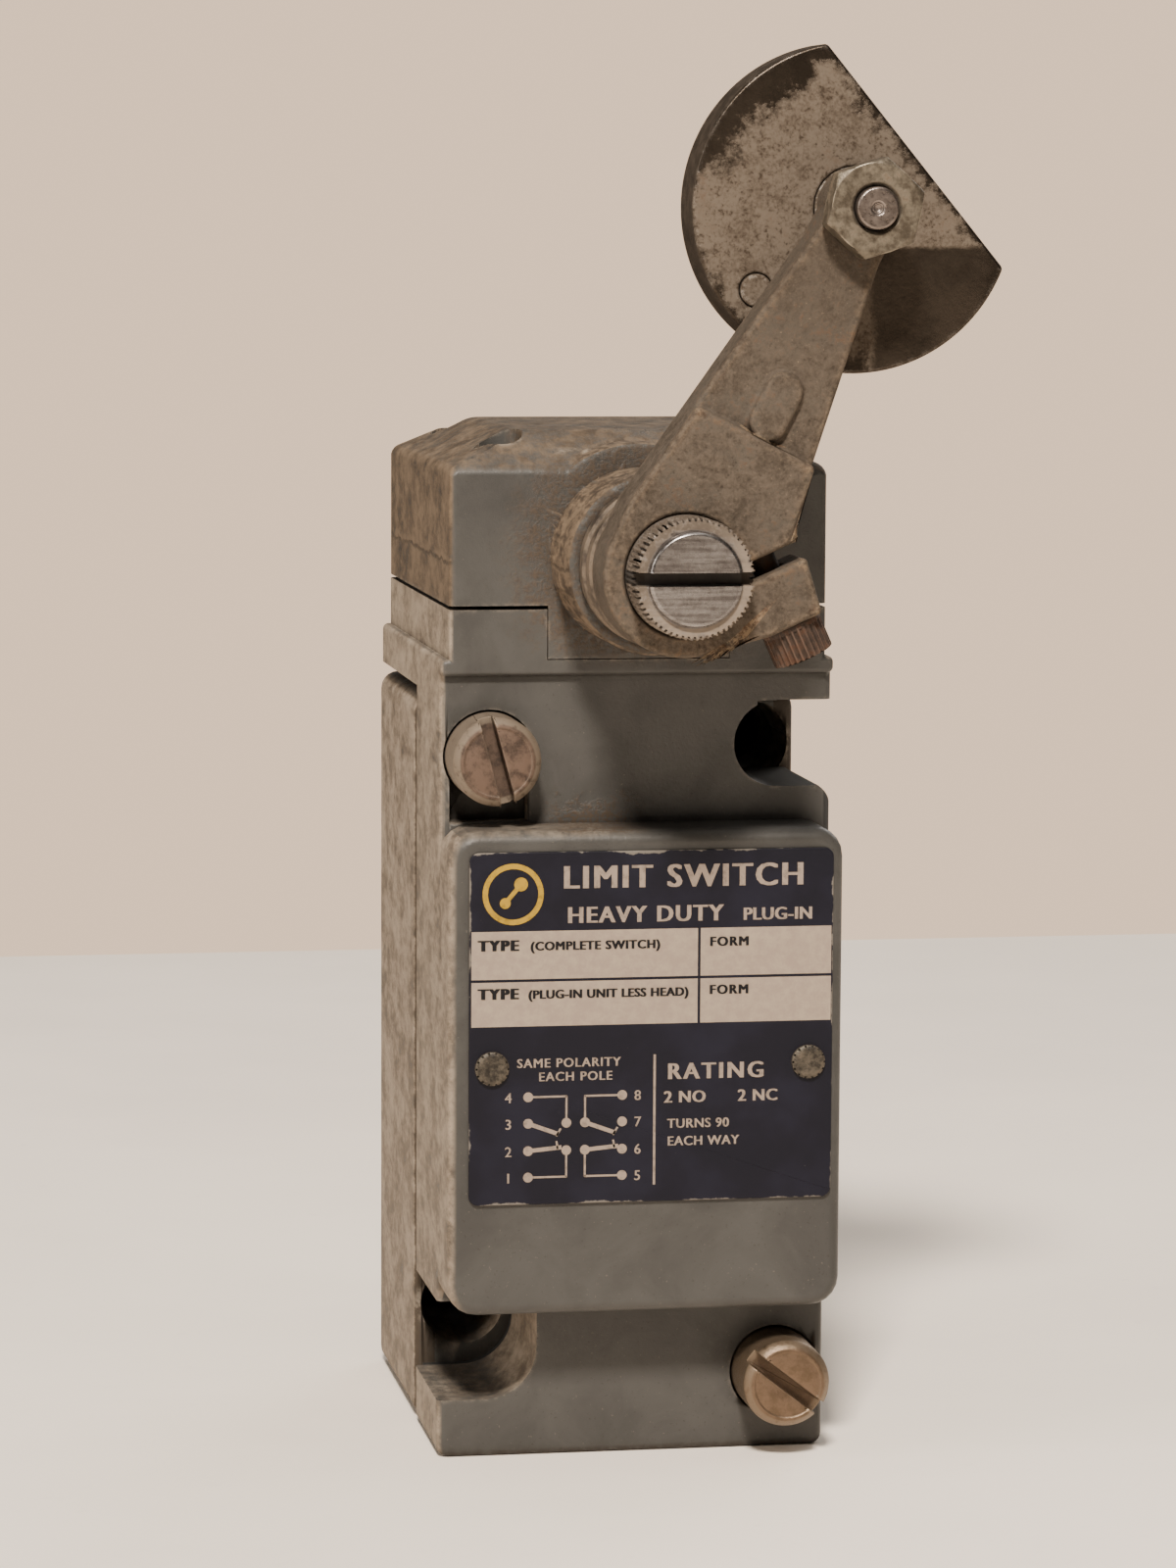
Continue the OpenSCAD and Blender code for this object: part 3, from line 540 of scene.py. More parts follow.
def leverCoat():
    # sintered steel under grey-brown dust with orange rust near the edges
    p = Paint("lever_coat")
    look = leverLook
    grit = p.noise(0.28, 3, 0.6)
    fine = p.noise(0.7, 5, 0.7)
    grain = p.noise(1.8, 5, 0.65)
    blotch = p.noise(5, 4, 0.6, warp=0.4)
    edge = p.step(p.edge(1.6), 0.22, 0.6)
    hollow = p.step(p.hollow(1.6), 0.3, 0.85)
    cloud = grit * 0.2 + fine * 0.35 + grain * 0.3 + blotch * 0.15
    tone = p.mix(p.step(cloud, 0.40, 0.60), look["middle"], look["light"])
    tone = p.mix(p.step(blotch, 0.46, 0.66) * 0.6, tone, look["grey"])
    tone = p.mix(p.step(fine * 0.7 + grit * 0.3, 0.43, 0.33) * 0.55, tone, look["dark"])
    upper = p.step(p.away(studX, studHeight), *look["fade"]) * 0.45
    tone = p.mix(upper, tone, look["middle"])
    rust = p.step(blotch * 0.45 + fine * 0.55, 0.54, 0.66) * 0.40 + edge * p.step(grain, 0.4, 0.6) * 0.5
    tone = p.mix(rust.clear(), tone, look["rust"])
    # lighter rims on the edges: wear, and painted highlight
    tone = p.mix(edge * p.step(fine, 0.42, 0.6) * 0.7, tone, look["rim"])
    tone = p.mix(p.step(grit, 0.68, 0.74) * 0.4, tone, look["rim"])
    # soil and painted shade, darker deep in the hollows
    tone = p.mix(hollow * 0.85, tone, look["soilAndShade"])
    p.use(color=tone, roughness=0.78 + (grain - 0.5) * 0.3, metallic=0.1,
          normal=p.bump(grain * 0.5 + fine * 0.4 + grit * 0.1, 1.0, 0.30))
    p.hold("Specular IOR Level", 0.25)
    return p.material


discLook = {
    "steel": (0.032, 0.0255, 0.020),
    "dust": (0.112, 0.091, 0.071),
    "dustMid": (0.062, 0.048, 0.036),
    "dustDark": (0.026, 0.018, 0.012),
    "rim": (0.42, 0.39, 0.36),
    "rust": (0.062, 0.034, 0.019),
    "wiped": (3.6, 1.5),        # the wiped part lies under and right of the stud by this much, in mm
    "dustRadius": 15.7,
    "chord": (7.9, 39.5),       # distance and direction of the cut edge
    "glint": (0.35, 0.30, 0.26),
}


def discSteel():
    # dark bare steel, with a dusty middle that fades in patches towards the rim
    p = Paint("disc_steel_worn")
    look = discLook
    away = p.away(studX, studHeight)
    grain = p.noise(1.3, 6, 0.75)
    blotch = p.noise(5.0, 5, 0.65, warp=0.3)
    fine = p.noise(0.35, 4, 0.7)
    edge = p.step(p.edge(0.8), 0.25, 0.6)
    tone = p.mix(p.step(blotch, 0.35, 0.65), look["steel"], [c * 1.5 for c in look["steel"]])
    across = p.at[0] / mm - studX
    down = studHeight + base / mm - p.at[2] / mm
    under, right = look["wiped"]
    clean = p.step(down + (grain - 0.5) * 1.2, under, under + 0.4)
    clean = clean * p.step(across + (blotch - 0.5) * 3.0 + (grain - 0.5) * 2.0, right, right + 1.0)
    reach, lean = look["chord"]
    toChord = reach - across * math.cos(math.radians(lean)) + down * math.sin(math.radians(lean))
    upLeft = p.step((down + across) * -0.707 / (away + 0.1), 0.72, 0.98)
    inner = (look["dustRadius"] - upLeft * 2.8 - away).least(toChord * 1.4 - 1.2)
    dusty = p.step(inner + (blotch - 0.5) * 9.0 + (grain - 0.5) * 6.0, -0.6, 1.2)
    dusty = dusty * (1.0 - clean * 0.96)
    mottle = grain * 0.35 + fine * 0.35 + blotch * 0.3
    dust = p.mix(p.step(mottle, 0.42, 0.56), look["dustMid"], look["dust"])
    dust = p.mix(p.step(fine * 0.5 + grain * 0.5, 0.46, 0.38) * 0.8, dust, look["dustDark"])
    dust = p.mix(p.step(fine * 0.3 + blotch * 0.7, 0.56, 0.68) * 0.45, dust, look["rust"])
    front = p.step(p.facing[1] * -1.0, 0.3, 0.7)
    side = (1.0 - front) * p.step(grain, 0.40, 0.62) * 0.18
    tone = p.mix(dusty * front + side, tone, dust)
    chip = edge * p.step(grain * 0.6 + fine * 0.4, 0.47, 0.58) * (0.25 + front * 0.75)
    tone = p.mix(chip, tone, look["rim"])
    dust = (dusty * front + side).clear()
    p.use(color=tone, roughness=(0.60 - front * 0.26 + dust * 0.45 + (grain - 0.5) * 0.2).clear(),
          metallic=(0.35 + front * 0.5 - dust * 0.85).clear(),
          normal=p.bump(grain * 0.4 + fine * 0.25 + dust * 0.7, 0.55, 0.12))
    p.hold("Specular Tint", (*look["glint"], 1))
    return p.material


plateLook = {
    "navy": (0.0052, 0.0052, 0.0105),
    "cream": (0.262, 0.208, 0.168),
    "black": (0.006, 0.006, 0.008),
    "gold": (0.36, 0.225, 0.022),
    "metal": (0.20, 0.18, 0.155),
    "stain": (0.36, 0.30, 0.22),
    "dirt": (0.05, 0.04, 0.03),
    "middle": (0.4, 45.8),  # middle of the plate, and its half width and half height less the rim
    "half": (18.1, 17.4),
    "lineHalf": 0.14,
    "fieldTop": 55.75,      # heights of the cream fields in mm
    "fieldLow": 46.1,
    "rule": 50.75,
    "divider": 5.2,
    "edge": (-18.0, 18.8),
}


def platePrint():
    # navy plate with two cream fields, scuffed so that metal shows at the edges
    p = Paint("nameplate_print")
    look = plateLook
    high = p.at[2] / mm - base / mm
    across = p.at[0] / mm
    grain = p.noise(1.1, 5, 0.7)
    fine = p.noise(0.3, 3, 0.7)
    blotch = p.noise(7, 3)

    def band(value, low, top):
        return (value > low) * (value < top)
    field = band(high, look["fieldLow"], look["fieldTop"]) * band(across, *look["edge"])
    thin = look["lineHalf"]
    rule = band(high, look["rule"] - thin, look["rule"] + thin)
    line = band(across, look["divider"] - thin, look["divider"] + thin)
    cream = field * (1.0 - rule) * (1.0 - line)
    navy = p.mix(p.step(blotch, 0.4, 0.7), look["navy"], [c * 1.6 for c in look["navy"]])
    tint = p.mix(p.step(grain, 0.35, 0.7) * 0.5, look["cream"], look["stain"])
    tone = p.mix(cream, navy, tint)
    rimX = abs(across - look["middle"][0]) - look["half"][0]
    rimZ = abs(high - look["middle"][1]) - look["half"][1]
    rim = rimX.most(rimZ) + (grain - 0.5) * 0.9 + (blotch - 0.5) * 1.6
    worn = p.step(rim, 0.42, 0.56)
    scuff = (worn * 0.8 + p.step(fine * 0.5 + grain * 0.5, 0.66, 0.72) * 0.5).clear()
    tone = p.mix(scuff, tone, look["metal"])
    # dirt and painted shade in the hollows, round the rivets
    dirt = p.step(p.hollow(1.5), 0.3, 0.8)
    tone = p.mix(dirt * 0.7, tone, look["dirt"])
    p.use(color=tone, roughness=0.48 + scuff * 0.2 + (grain - 0.5) * 0.15, metallic=scuff * 0.4,
          normal=p.bump(fine * 0.3 + scuff * -0.7, 0.3, 0.06))
    p.hold("Specular IOR Level", 0.18)
    return p.material


def ink(name, colour):
    # printed lettering with small chips and soil
    p = Paint(name)
    grain = p.noise(0.8, 5, 0.7)
    tone = p.mix(p.step(grain, 0.45, 0.75), colour, [c * 0.55 for c in colour])
    p.use(color=tone, roughness=0.5 + (grain - 0.5) * 0.2, normal=p.bump(grain, 0.1, 0.03))
    p.hold("Specular IOR Level", 0.18)
    return p.material


shaftLook = {
    "steel": (0.275, 0.258, 0.25),
    "steelDark": (0.115, 0.103, 0.099),
    "dust": (0.20, 0.155, 0.112),
    "dirt": (0.045, 0.032, 0.022),
    "soilAndShade": (0.03, 0.022, 0.016),
    "slot": (0.016, 0.012, 0.009),
    "faceRadius": 4.65,
    "knurlRadius": 6.0,
    "slotHalf": 0.62,
    "slotStart": 0.12,  # depth in the slot where the painted shade starts
}


def endSteel():
    # bright machined end of the shaft, dusty round the knurl
    p = Paint("shaft_end_steel")
    look = shaftLook
    away = p.away(0, shaftHeight)
    grain = p.noise(1.0, 5, 0.7)
    fine = p.noise(0.35, 3)
    brush = p.noise(1.2, 3, 0.6, (0.15, 1, 3))
    hollow = p.step(p.hollow(1.2), 0.25, 0.8)
    out = p.step(away, look["faceRadius"], look["faceRadius"] + 0.15) * p.step(grain, 0.3, 0.5)
    tone = p.mix(p.step(brush * 0.6 + grain * 0.4, 0.35, 0.65), look["steelDark"], look["steel"])
    up = p.at[2] / mm - (base / mm + shaftHeight)
    upLeft = p.step(up * 0.8 - p.at[0] / mm * 0.6, -2.0, 3.0)
    tone = p.mix(out * 0.8, tone, look["dust"])
    tone = p.mix(out * upLeft * p.step(grain, 0.35, 0.55) * 0.7, tone, look["dirt"])
    # painted shade: the slot across the shaft end is made near black below its mouth
    slot = (abs(up) < look["slotHalf"]) * (away < look["knurlRadius"])
    slot = slot * (p.at[1] / mm > shaftBox[0].y / mm + look["slotStart"])
    # soil and painted shade, darker deep in the hollows
    tone = p.mix(hollow * 0.9, tone, look["soilAndShade"])
    tone = p.mix(slot * 0.93, tone, look["slot"])
    dirt = (hollow * 0.6 + slot).clear()
    p.use(color=tone, roughness=(0.28 + out * 0.4 + dirt * 0.5 + (fine - 0.5) * 0.2).clear(),
          metallic=(0.95 - out * 0.7 - dirt * 0.9).clear(), normal=p.bump(brush + fine * 0.5, 0.12, 0.05))
    return p.material


coverScrew = {
    "places": [(-15.1, 72.6), (15.1, 8.1)],
    "slotTurn": [-15, -52],
    "steps": [(-12, 2.1), (-44.1, 2.1), (-44.1, 4.5), (-51.6, 4.5), (-51.85, 4.42), (-52.5, 3.75),
              (-52.6, 3.5), (-52.42, 3.38), (-52.5, 3.1), (-52.5, 0.5)],
    "slot": (1.4, 2.2),     # width and depth
    "slotReach": 6,
}
screwLook = {
    "rim": (0.165, 0.130, 0.096),
    "face": (0.108, 0.070, 0.050),
    "faceDark": (0.030, 0.018, 0.012),
    "soilAndShade": (0.02, 0.014, 0.01),
    # painted highlight colour of the lower screw
    "bright": (0.24, 0.165, 0.10),
    "ring": 3.7,
}


def screwCoat():
    # tarnished screw: a reddish brown face inside a paler rim, bright in the slot
    p = Paint("tarnished_screw")
    look = screwLook
    grain = p.noise(0.9, 6, 0.75)
    fine = p.noise(0.3, 4, 0.7)
    edge = p.step(p.edge(0.5), 0.25, 0.6)
    hollow = p.step(p.hollow(1.4), 0.25, 0.70)
    first, second = [p.away(*where) for where in coverScrew["places"]]
    ring = p.step(first.least(second), look["ring"], look["ring"] + 0.25)
    blotch = p.noise(2.6, 4, 0.6, warp=0.4)
    face = p.mix(p.step(grain * 0.5 + blotch * 0.5, 0.38, 0.58), look["faceDark"], look["face"])
    tone = p.mix(ring * p.step(grain, 0.28, 0.5), face, look["rim"])
    tone = p.mix(edge * 0.7, tone, [min(1, c * 1.5) for c in look["rim"]])
    # soil and painted shade in the hollows; it makes the slot dark
    tone = p.mix(hollow * 0.85, tone, look["soilAndShade"])
    low = p.step(p.at[2] / mm, 0.0, 1.0)
    # painted highlight: the face of the lower screw is made brighter and more golden outside its hollows
    tone = p.mix((1.0 - low) * (1.0 - hollow) * 0.35, tone, look["bright"])
    p.use(color=tone, roughness=(0.42 + low * 0.25 + (grain - 0.5) * 0.3 + hollow * 0.3).clear(),
          metallic=(0.75 - low * 0.35 - hollow * 0.5).clear(),
          normal=p.bump(grain * 0.6 + fine * 0.4, 0.6, 0.14))
    return p.material


print("materials")
housingPaint = castPaint("housing_enamel", housingLook)
headPaint = castPaint("head_enamel", headLook)
shellPaint = castPaint("shell_enamel", shellLook)
leverMetal = leverCoat()
discMetal = discSteel()
plateMetal = platePrint()
creamInk = ink("cream_ink", plateLook["cream"])
blackInk = ink("black_ink", plateLook["black"])
goldInk = ink("gold_ink", plateLook["gold"])
shaftMetal = endSteel()
coverScrewMetal = screwCoat()
clampMetal = metal("rusty_clamp_steel", (0.058, 0.034, 0.023), (0.022, 0.013, 0.009),
                   rust=(0.066, 0.030, 0.016), rustShare=0.4, rough=0.75, grainSize=0.8,
                   metallic=0.15, bump=0.7, soilAndShadeShare=0.7)
nutMetal = metal("dull_zinc", (0.168, 0.144, 0.108), (0.060, 0.047, 0.033),
                 rust=(0.09, 0.062, 0.037), rustShare=0.35, rough=0.46, grainSize=0.8,
                 metallic=0.6, bump=0.5, soilAndShadeShare=0.8)
studMetal = metal("worn_stud", (0.22, 0.185, 0.165), (0.12, 0.098, 0.085),
                  rust=(0.12, 0.08, 0.05), rustShare=0.1, rough=0.3, grainSize=0.5,
                  metallic=0.9, bump=0.35, soilAndShadeShare=0.7)
bushingMetal = metal("dusty_bushing_metal", (0.150, 0.115, 0.082), (0.026, 0.018, 0.012),
                     rust=(0.070, 0.042, 0.025), rustShare=0.25, rough=0.6, grainSize=1.0,
                     metallic=0.25, bump=0.6, soilAndShadeShare=0.9)
zincMetal = metal("bright_zinc", (0.42, 0.42, 0.42), (0.28, 0.28, 0.27), rough=0.33, grainSize=1.0,
                  metallic=0.9, bump=0.15)
steelMetal = metal("ground_steel", (0.45, 0.45, 0.45), (0.33, 0.33, 0.33), rough=0.28, grainSize=0.7,
                   metallic=0.95, bump=0.1)
springMetal = metal("spring_wire", (0.36, 0.36, 0.38), (0.22, 0.22, 0.24), rough=0.3, grainSize=0.5,
                    metallic=0.95, bump=0.1)
brassMetal = metal("dull_brass", (0.55, 0.38, 0.14), (0.36, 0.23, 0.08), rough=0.33, grainSize=1.0,
                   metallic=0.9, bump=0.12)
silverMetal = metal("contact_silver", (0.62, 0.58, 0.50), (0.42, 0.38, 0.30), rough=0.3, grainSize=0.7,
                    metallic=0.9, bump=0.12)
bronzeMetal = metal("sintered_bronze", (0.33, 0.22, 0.11), (0.20, 0.13, 0.07), rough=0.45, grainSize=0.5,
                    metallic=0.8, bump=0.3)
greenMetal = metal("green_plating", (0.05, 0.26, 0.09), (0.03, 0.14, 0.05), rough=0.35, grainSize=0.8,
                   metallic=0.6, bump=0.15)
rivetMetal = metal("dull_rivet", (0.085, 0.072, 0.054), (0.016, 0.013, 0.010),
                   rust=(0.07, 0.050, 0.032), rustShare=0.3, rough=0.5, grainSize=0.5,
                   metallic=0.5, bump=0.6, soilAndShadeShare=0.8)
blackRubber = moulding("black_rubber", (0.018, 0.018, 0.017), 0.75)
brownMoulding = moulding("brown_moulding", (0.085, 0.036, 0.018), 0.35)
darkMoulding = moulding("dark_moulding", (0.035, 0.025, 0.02), 0.4)
tanMoulding = moulding("tan_moulding", (0.17, 0.095, 0.05), 0.45)
ivoryMoulding = moulding("ivory_moulding", (0.56, 0.50, 0.38), 0.4)

innerFinish = {
    "receptacle_gasket": blackRubber, "head_gasket": blackRubber, "shaft_seal": blackRubber,
    "cover_screw_washers": blackRubber, "terminal_block": brownMoulding,
    "contact_block": darkMoulding, "contact_block_cover": tanMoulding,
    "carrier_right": ivoryMoulding, "carrier_left": ivoryMoulding,
    "terminal_block_screws": zincMetal, "terminal_clamps": zincMetal, "terminal_screws": zincMetal,
    "contact_block_screws": zincMetal, "head_screws": zincMetal, "ground_screw": greenMetal,
    "socket_contacts": brassMetal, "fixed_contacts_nc": brassMetal, "fixed_contacts_no": brassMetal,
    "plug_pins": brassMetal, "bridge_right": silverMetal, "bridge_left": silverMetal,
    "rear_bearing": bronzeMetal, "disc_bushing": discMetal, "shaft_retaining_ring": springMetal,
    "contact_springs_right": springMetal, "contact_springs_left": springMetal,
    "rack_right": steelMetal, "rack_left": steelMetal, "lock_washer": leverMetal,
}
for node, material in innerFinish.items():
    for slot in nodes[node].material_slots:
        slot.material = material


# ---------- castings ----------

castEdges = {
    "shellCorner": 1.8,  # outer corners of the shell
    "corner": 1.2,      # outer corners of the foot
    "boxCorner": 3.0,   # corners of the raised box
    "boxFront": 1.3,    # edge round the front of the raised box
    "front": 0.8,       # other front edges
    "shellFront": 1.2,  # front edge of the shell, where it meets the unit
    "joint": 0.5,       # rear edges of the unit
    "ledgeCorner": 0.6,
    "ledge": 0.5,       # front and back edges of the ledge under the head
    "seat": 0.6,        # front and back edges of the block under the head
    "top": 0.7,         # edges of the head's bevel and top
}
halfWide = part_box("receptacle")[1].x / mm
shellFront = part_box("receptacle")[0].y / mm
shellTop = (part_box("receptacle")[1].z - base) / mm


def receptacleShell():
    look = castEdges
    block = roundBlock((-halfWide, halfWide), (shellFront, 0), (0, shellTop), look["shellCorner"],
                       look["shellFront"], look["front"])
    piece = combine(workCopy("receptacle", "receptacle_shell"), block, "INTERSECT")
    finishPiece(evenShade(piece), "receptacle", shellPaint, "shell_paint", "receptacle")


# depths and heights of the blocks that the unit is made of
unit = {
    "foot": ((-45.7, -29.2), (0, 20.4)),
    "neck": ((-46.6, -29.2), (61.7, 80.8)),
    "box": ((-53.7, -29.2), (16.4, 65.7)),
    "overhang": ((-46.6, -1.7), (78.3, 81.4)),
    "ledge": ((-47.6, -1.7), (80.8, 82.5)),
    "seat": ((-47.6, -1.7), (81.4, 89)),
    "seatHalf": 19.35,
}


def unitCasting():
    # the CAD shape is trimmed by a body built of blocks with rounded edges
    look = castEdges
    wide = (-halfWide, halfWide)
    body = roundBlock(wide, *unit["box"], look["boxCorner"], look["boxFront"], look["joint"])
    fuse(body, roundBlock(wide, *unit["foot"], look["corner"], look["front"], look["joint"]))
    fuse(body, roundBlock(wide, *unit["neck"], 0, look["front"], look["joint"]))
    fuse(body, roundBlock(wide, *unit["overhang"], 0, look["front"], look["joint"]))
    fuse(body, roundBlock(wide, *unit["ledge"], look["ledgeCorner"], look["ledge"], look["ledge"]))
    seat = (-unit["seatHalf"], unit["seatHalf"])
    fuse(body, roundBlock(seat, *unit["seat"], 0, look["seat"], look["seat"]))
    piece = combine(workCopy("unit_housing", "unit_casting"), body, "INTERSECT")
    finishPiece(evenShade(piece), "unit", housingPaint, "housing_paint", "unit_housing")


head = {
    "half": 19.35, "deep": (-47.6, -1.7), "high": (87.9, 101.7), "top": 105.3, "inset": 7.2,
    "tongue": (9.3, 4.0), "tongueLow": 82.5,
    "boss": [(-38.6, 11.6), (-47.0, 11.6), (-47.4, 11.45), (-47.6, 11.0)],
    "collar": [(-47, 9.1), (-57.2, 9.1), (-57.75, 8.85), (-58, 8.3)],
}


def headCasting():
    # a block with a drawn-in top, two tongues, the boss and the collar
    front, back = head["deep"]
    low, rim = head["high"]
    piece = addBox("head_block", (-head["half"], head["half"]), (front, back), (low - 1, rim))
    pickFaces(piece, lambda face: face.normal.z > 0.9)
    rise = head["top"] - rim
    bpy.ops.mesh.extrude_region_move(TRANSFORM_OT_translate={"value": (0, 0, rise * mm)})
    middle = place(0, (front + back) / 2, head["top"])
    bpy.ops.transform.resize(value=(1 - head["inset"] / head["half"],
                                    1 - 2 * head["inset"] / (back - front), 1), center_override=middle)
    bpy.ops.object.mode_set(mode="OBJECT")
    roundEdges(piece, castEdges["top"], 3, 20)
    tongueHalf, tongueDeep = head["tongue"]
    for y in ((front, front + tongueDeep), (back - tongueDeep, back)):
        fuse(piece, addBox("tongue", (-tongueHalf, tongueHalf), y, (head["tongueLow"], low + 1)))
    fuse(piece, turned("boss", 0, shaftHeight, head["boss"]))
    fuse(piece, turned("collar", 0, shaftHeight, head["collar"]))
    piece = combine(workCopy("head_housing", "head_casting"), piece, "INTERSECT")
    finishPiece(evenShade(piece), "unit", headPaint, "housing_paint", "head_housing")


receptacleShell()
unitCasting()
headCasting()
print("castings")


# ---------- shaft, lever and disc ----------

bushingSteps = [(-44.6, 6.6), (-58, 6.6), (-58, 7.6), (-58.6, 8.05), (-60.4, 8.05), (-60.9, 7.5),
                (-61.8, 7.5), (-62.3, 8.0), (-64.2, 8.0), (-64.8, 7.4), (-64.8, 5.06), (-44.7, 5.06)]


def shaftBushing():
    piece = turned("shaft_bushing_ring", 0, shaftHeight, bushingSteps, 128)
    smooth(piece, 40)
    finishPiece(piece, "unit", bushingMetal, "bronze", "shaft_bushing")


shaftEnd = [(-5, 7), (-77.1, 7), (-77.15, 6.1), (-77.6, 5.6), (-77.62, 4.6), (-78.0, 4.58),
            (-78.2, 4.48), (-78.4, 4.2)]
knurl = {"teeth": 60, "inner": 5.5, "outer": 6.6, "depth": (-78, -75.2), "width": 0.24}


def knurlGrooves():
    # one groove turned into place for each tooth, all as a single cutting shape
    tools = []
    half = knurl["width"] / 2
    for index in range(knurl["teeth"]):
        tool = addBox("groove", (knurl["inner"], knurl["outer"]), knurl["depth"],
                      (shaftHeight - half, shaftHeight + half))
        tools.append(turn(tool, index * 360 / knurl["teeth"], 0, shaftHeight))
    return joinAll(tools, "knurl_grooves")


def shaftTurned():
    profile = turned("end_profile", 0, shaftHeight, shaftEnd)
    end = combine(workCopy("shaft", "shaft_turned"), profile, "INTERSECT")
    cut(end, knurlGrooves())
    evenShade(end)
    finishPiece(end, "shaft", shaftMetal, "bright_steel", "shaft")


softened = {
    # node, piece, width of its rounded edges in mm, segments, least angle, material, slot
    "shaft": [("lever", "lever_arm", 0.45, 3, 32, leverMetal, "lever_metal"),
              ("clamp_screw", "clamp_screw_head", 0.12, 2, 50, clampMetal, "rust_clamp"),
              ("disc_stud", "disc_stud_pin", 0.3, 2, 50, studMetal, "nut_metal")],
    "disc": [("disc", "disc_plate", 0.35, 3, 40, discMetal, "disc_steel"),
             ("disc_rivet", "disc_rivet_end", 0.25, 2, 40, discMetal, "disc_steel")],
}


def softenedPieces(body):
    # the pieces of one body that keep their CAD shape, with the edges rounded off
    for node, name, width, segments, angle, material, slot in softened[body]:
        piece = roundEdges(workCopy(node, name), width, segments, angle)
        finishPiece(piece, body, material, slot, node)


nut = {"flats": 8.7, "depth": (-74.8, -71.6), "corner": 0.75, "turn": 12, "bore": 2.15}


def studNut():
    # a hexagon whose corners are turned down at both ends, with a countersunk bore
    front, back = nut["depth"]
    across = nut["flats"] / 2 / math.cos(math.radians(30))
    piece = addRod("nut_hexagon", studX, studHeight, across, front, back, 6)
    turn(piece, nut["turn"], studX, studHeight)
    cone = turned("nut_cone", studX, studHeight, [
        (back + 0.1, across - nut["corner"] + 0.1), (back - nut["corner"] * 0.6, across + 0.05),
        (front + nut["corner"] * 0.6, across + 0.05), (front - 0.1, across - nut["corner"] - 0.15)])
    combine(piece, cone, "INTERSECT")
    cut(piece, turned("nut_bore", studX, studHeight, [
        (back + 1, nut["bore"]), (front + 0.35, nut["bore"]), (front - 0.1, nut["bore"] + 0.45)], 64))
    roundEdges(piece, 0.1, 2, 30)
    finishPiece(piece, "shaft", nutMetal, "nut_metal", "stud_nut")


def returnSprings():
    # the coil under each carrier, a smoothed copy with its own mesh that rides with its rack
    for side in ("right", "left"):
        node = "return_spring_" + side
        coil = finishPiece(smooth(workCopy(node, node + "_coil"), 40), "rack_" + side, springMetal,
                           "spring_steel", node)
        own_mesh(coil)


shaftBushing()
shaftTurned()
softenedPieces("shaft")
studNut()
softenedPieces("disc")
returnSprings()
print("shaft, lever and disc")


# ---------- cover screws ----------

def coverScrews():
    made = []
    width, deep = coverScrew["slot"]
    reach = coverScrew["slotReach"]
    front = min(depth for depth, radius in coverScrew["steps"])
    for (x, height), lean in zip(coverScrew["places"], coverScrew["slotTurn"]):
        piece = turned("cover_screw_part", x, height, coverScrew["steps"], 72)
        blade = addBox("slot_tool", (x - width / 2, x + width / 2), (front - 1.4, front + deep),
                       (height - reach, height + reach))
        cut(piece, turn(blade, lean, x, height))
        made.append(roundEdges(piece, 0.12, 2, 50))
    piece = joinAll(made, "cover_screw_heads")
    finishPiece(piece, "unit", coverScrewMetal, "rusty_screw", "cover_screws")


coverScrews()
print("cover screws")


# ---------- nameplate ----------

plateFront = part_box("nameplate")[0].y / mm
printed = {"thick": 0.03, "sunk": 0.02, "shift": 0.028, "raised": 0.04}


def nameplate():
    plate = roundEdges(workCopy("nameplate", "nameplate_sheet"), 0.12, 2, 50)
    finishPiece(plate, "unit", plateMetal, "nameplate_ink", "nameplate")


def lettering(text, x, height, size, heavy=0, spacing=1.0):
    # flat text, stood up on the front of the nameplate, made heavier with shifted copies
    labels = []
    for index in range(heavy + 1):
        bpy.ops.object.select_all(action="DESELECT")
        bpy.ops.object.text_add(location=(0, 0, 0))
        label = bpy.context.object
        label.data.body = text
        label.data.size = size * mm
        label.data.extrude = printed["thick"] * mm
        label.data.space_character = spacing
        label.data.resolution_u = 3
        bpy.ops.object.convert(target="MESH")
        label.rotation_euler = (math.radians(90), 0, 0)
        label.location = place(x + index * size * printed["shift"], plateFront - 0.01 - index * 0.002,
                               height)
        bpy.ops.object.transform_apply(location=True, rotation=True, scale=True)
        labels.append(label)
    return joinAll(labels, "lettering")


def stroke(start, end, width=0.35):
    # a printed line from one point to another, as a thin bar
    (x0, z0), (x1, z1) = start, end
    length = math.hypot(x1 - x0, z1 - z0) + width * 0.5
    mid = ((x0 + x1) / 2, (z0 + z1) / 2)
    bar = addBox("stroke", (mid[0] - length / 2, mid[0] + length / 2),
                 (plateFront - printed["raised"], plateFront + printed["sunk"]),
                 (mid[1] - width / 2, mid[1] + width / 2))
    return turn(bar, -math.degrees(math.atan2(z1 - z0, x1 - x0)), *mid)


def dot(x, height, radius):
    return addRod("dot", x, height, radius, plateFront - 0.045, plateFront + printed["sunk"], 20)


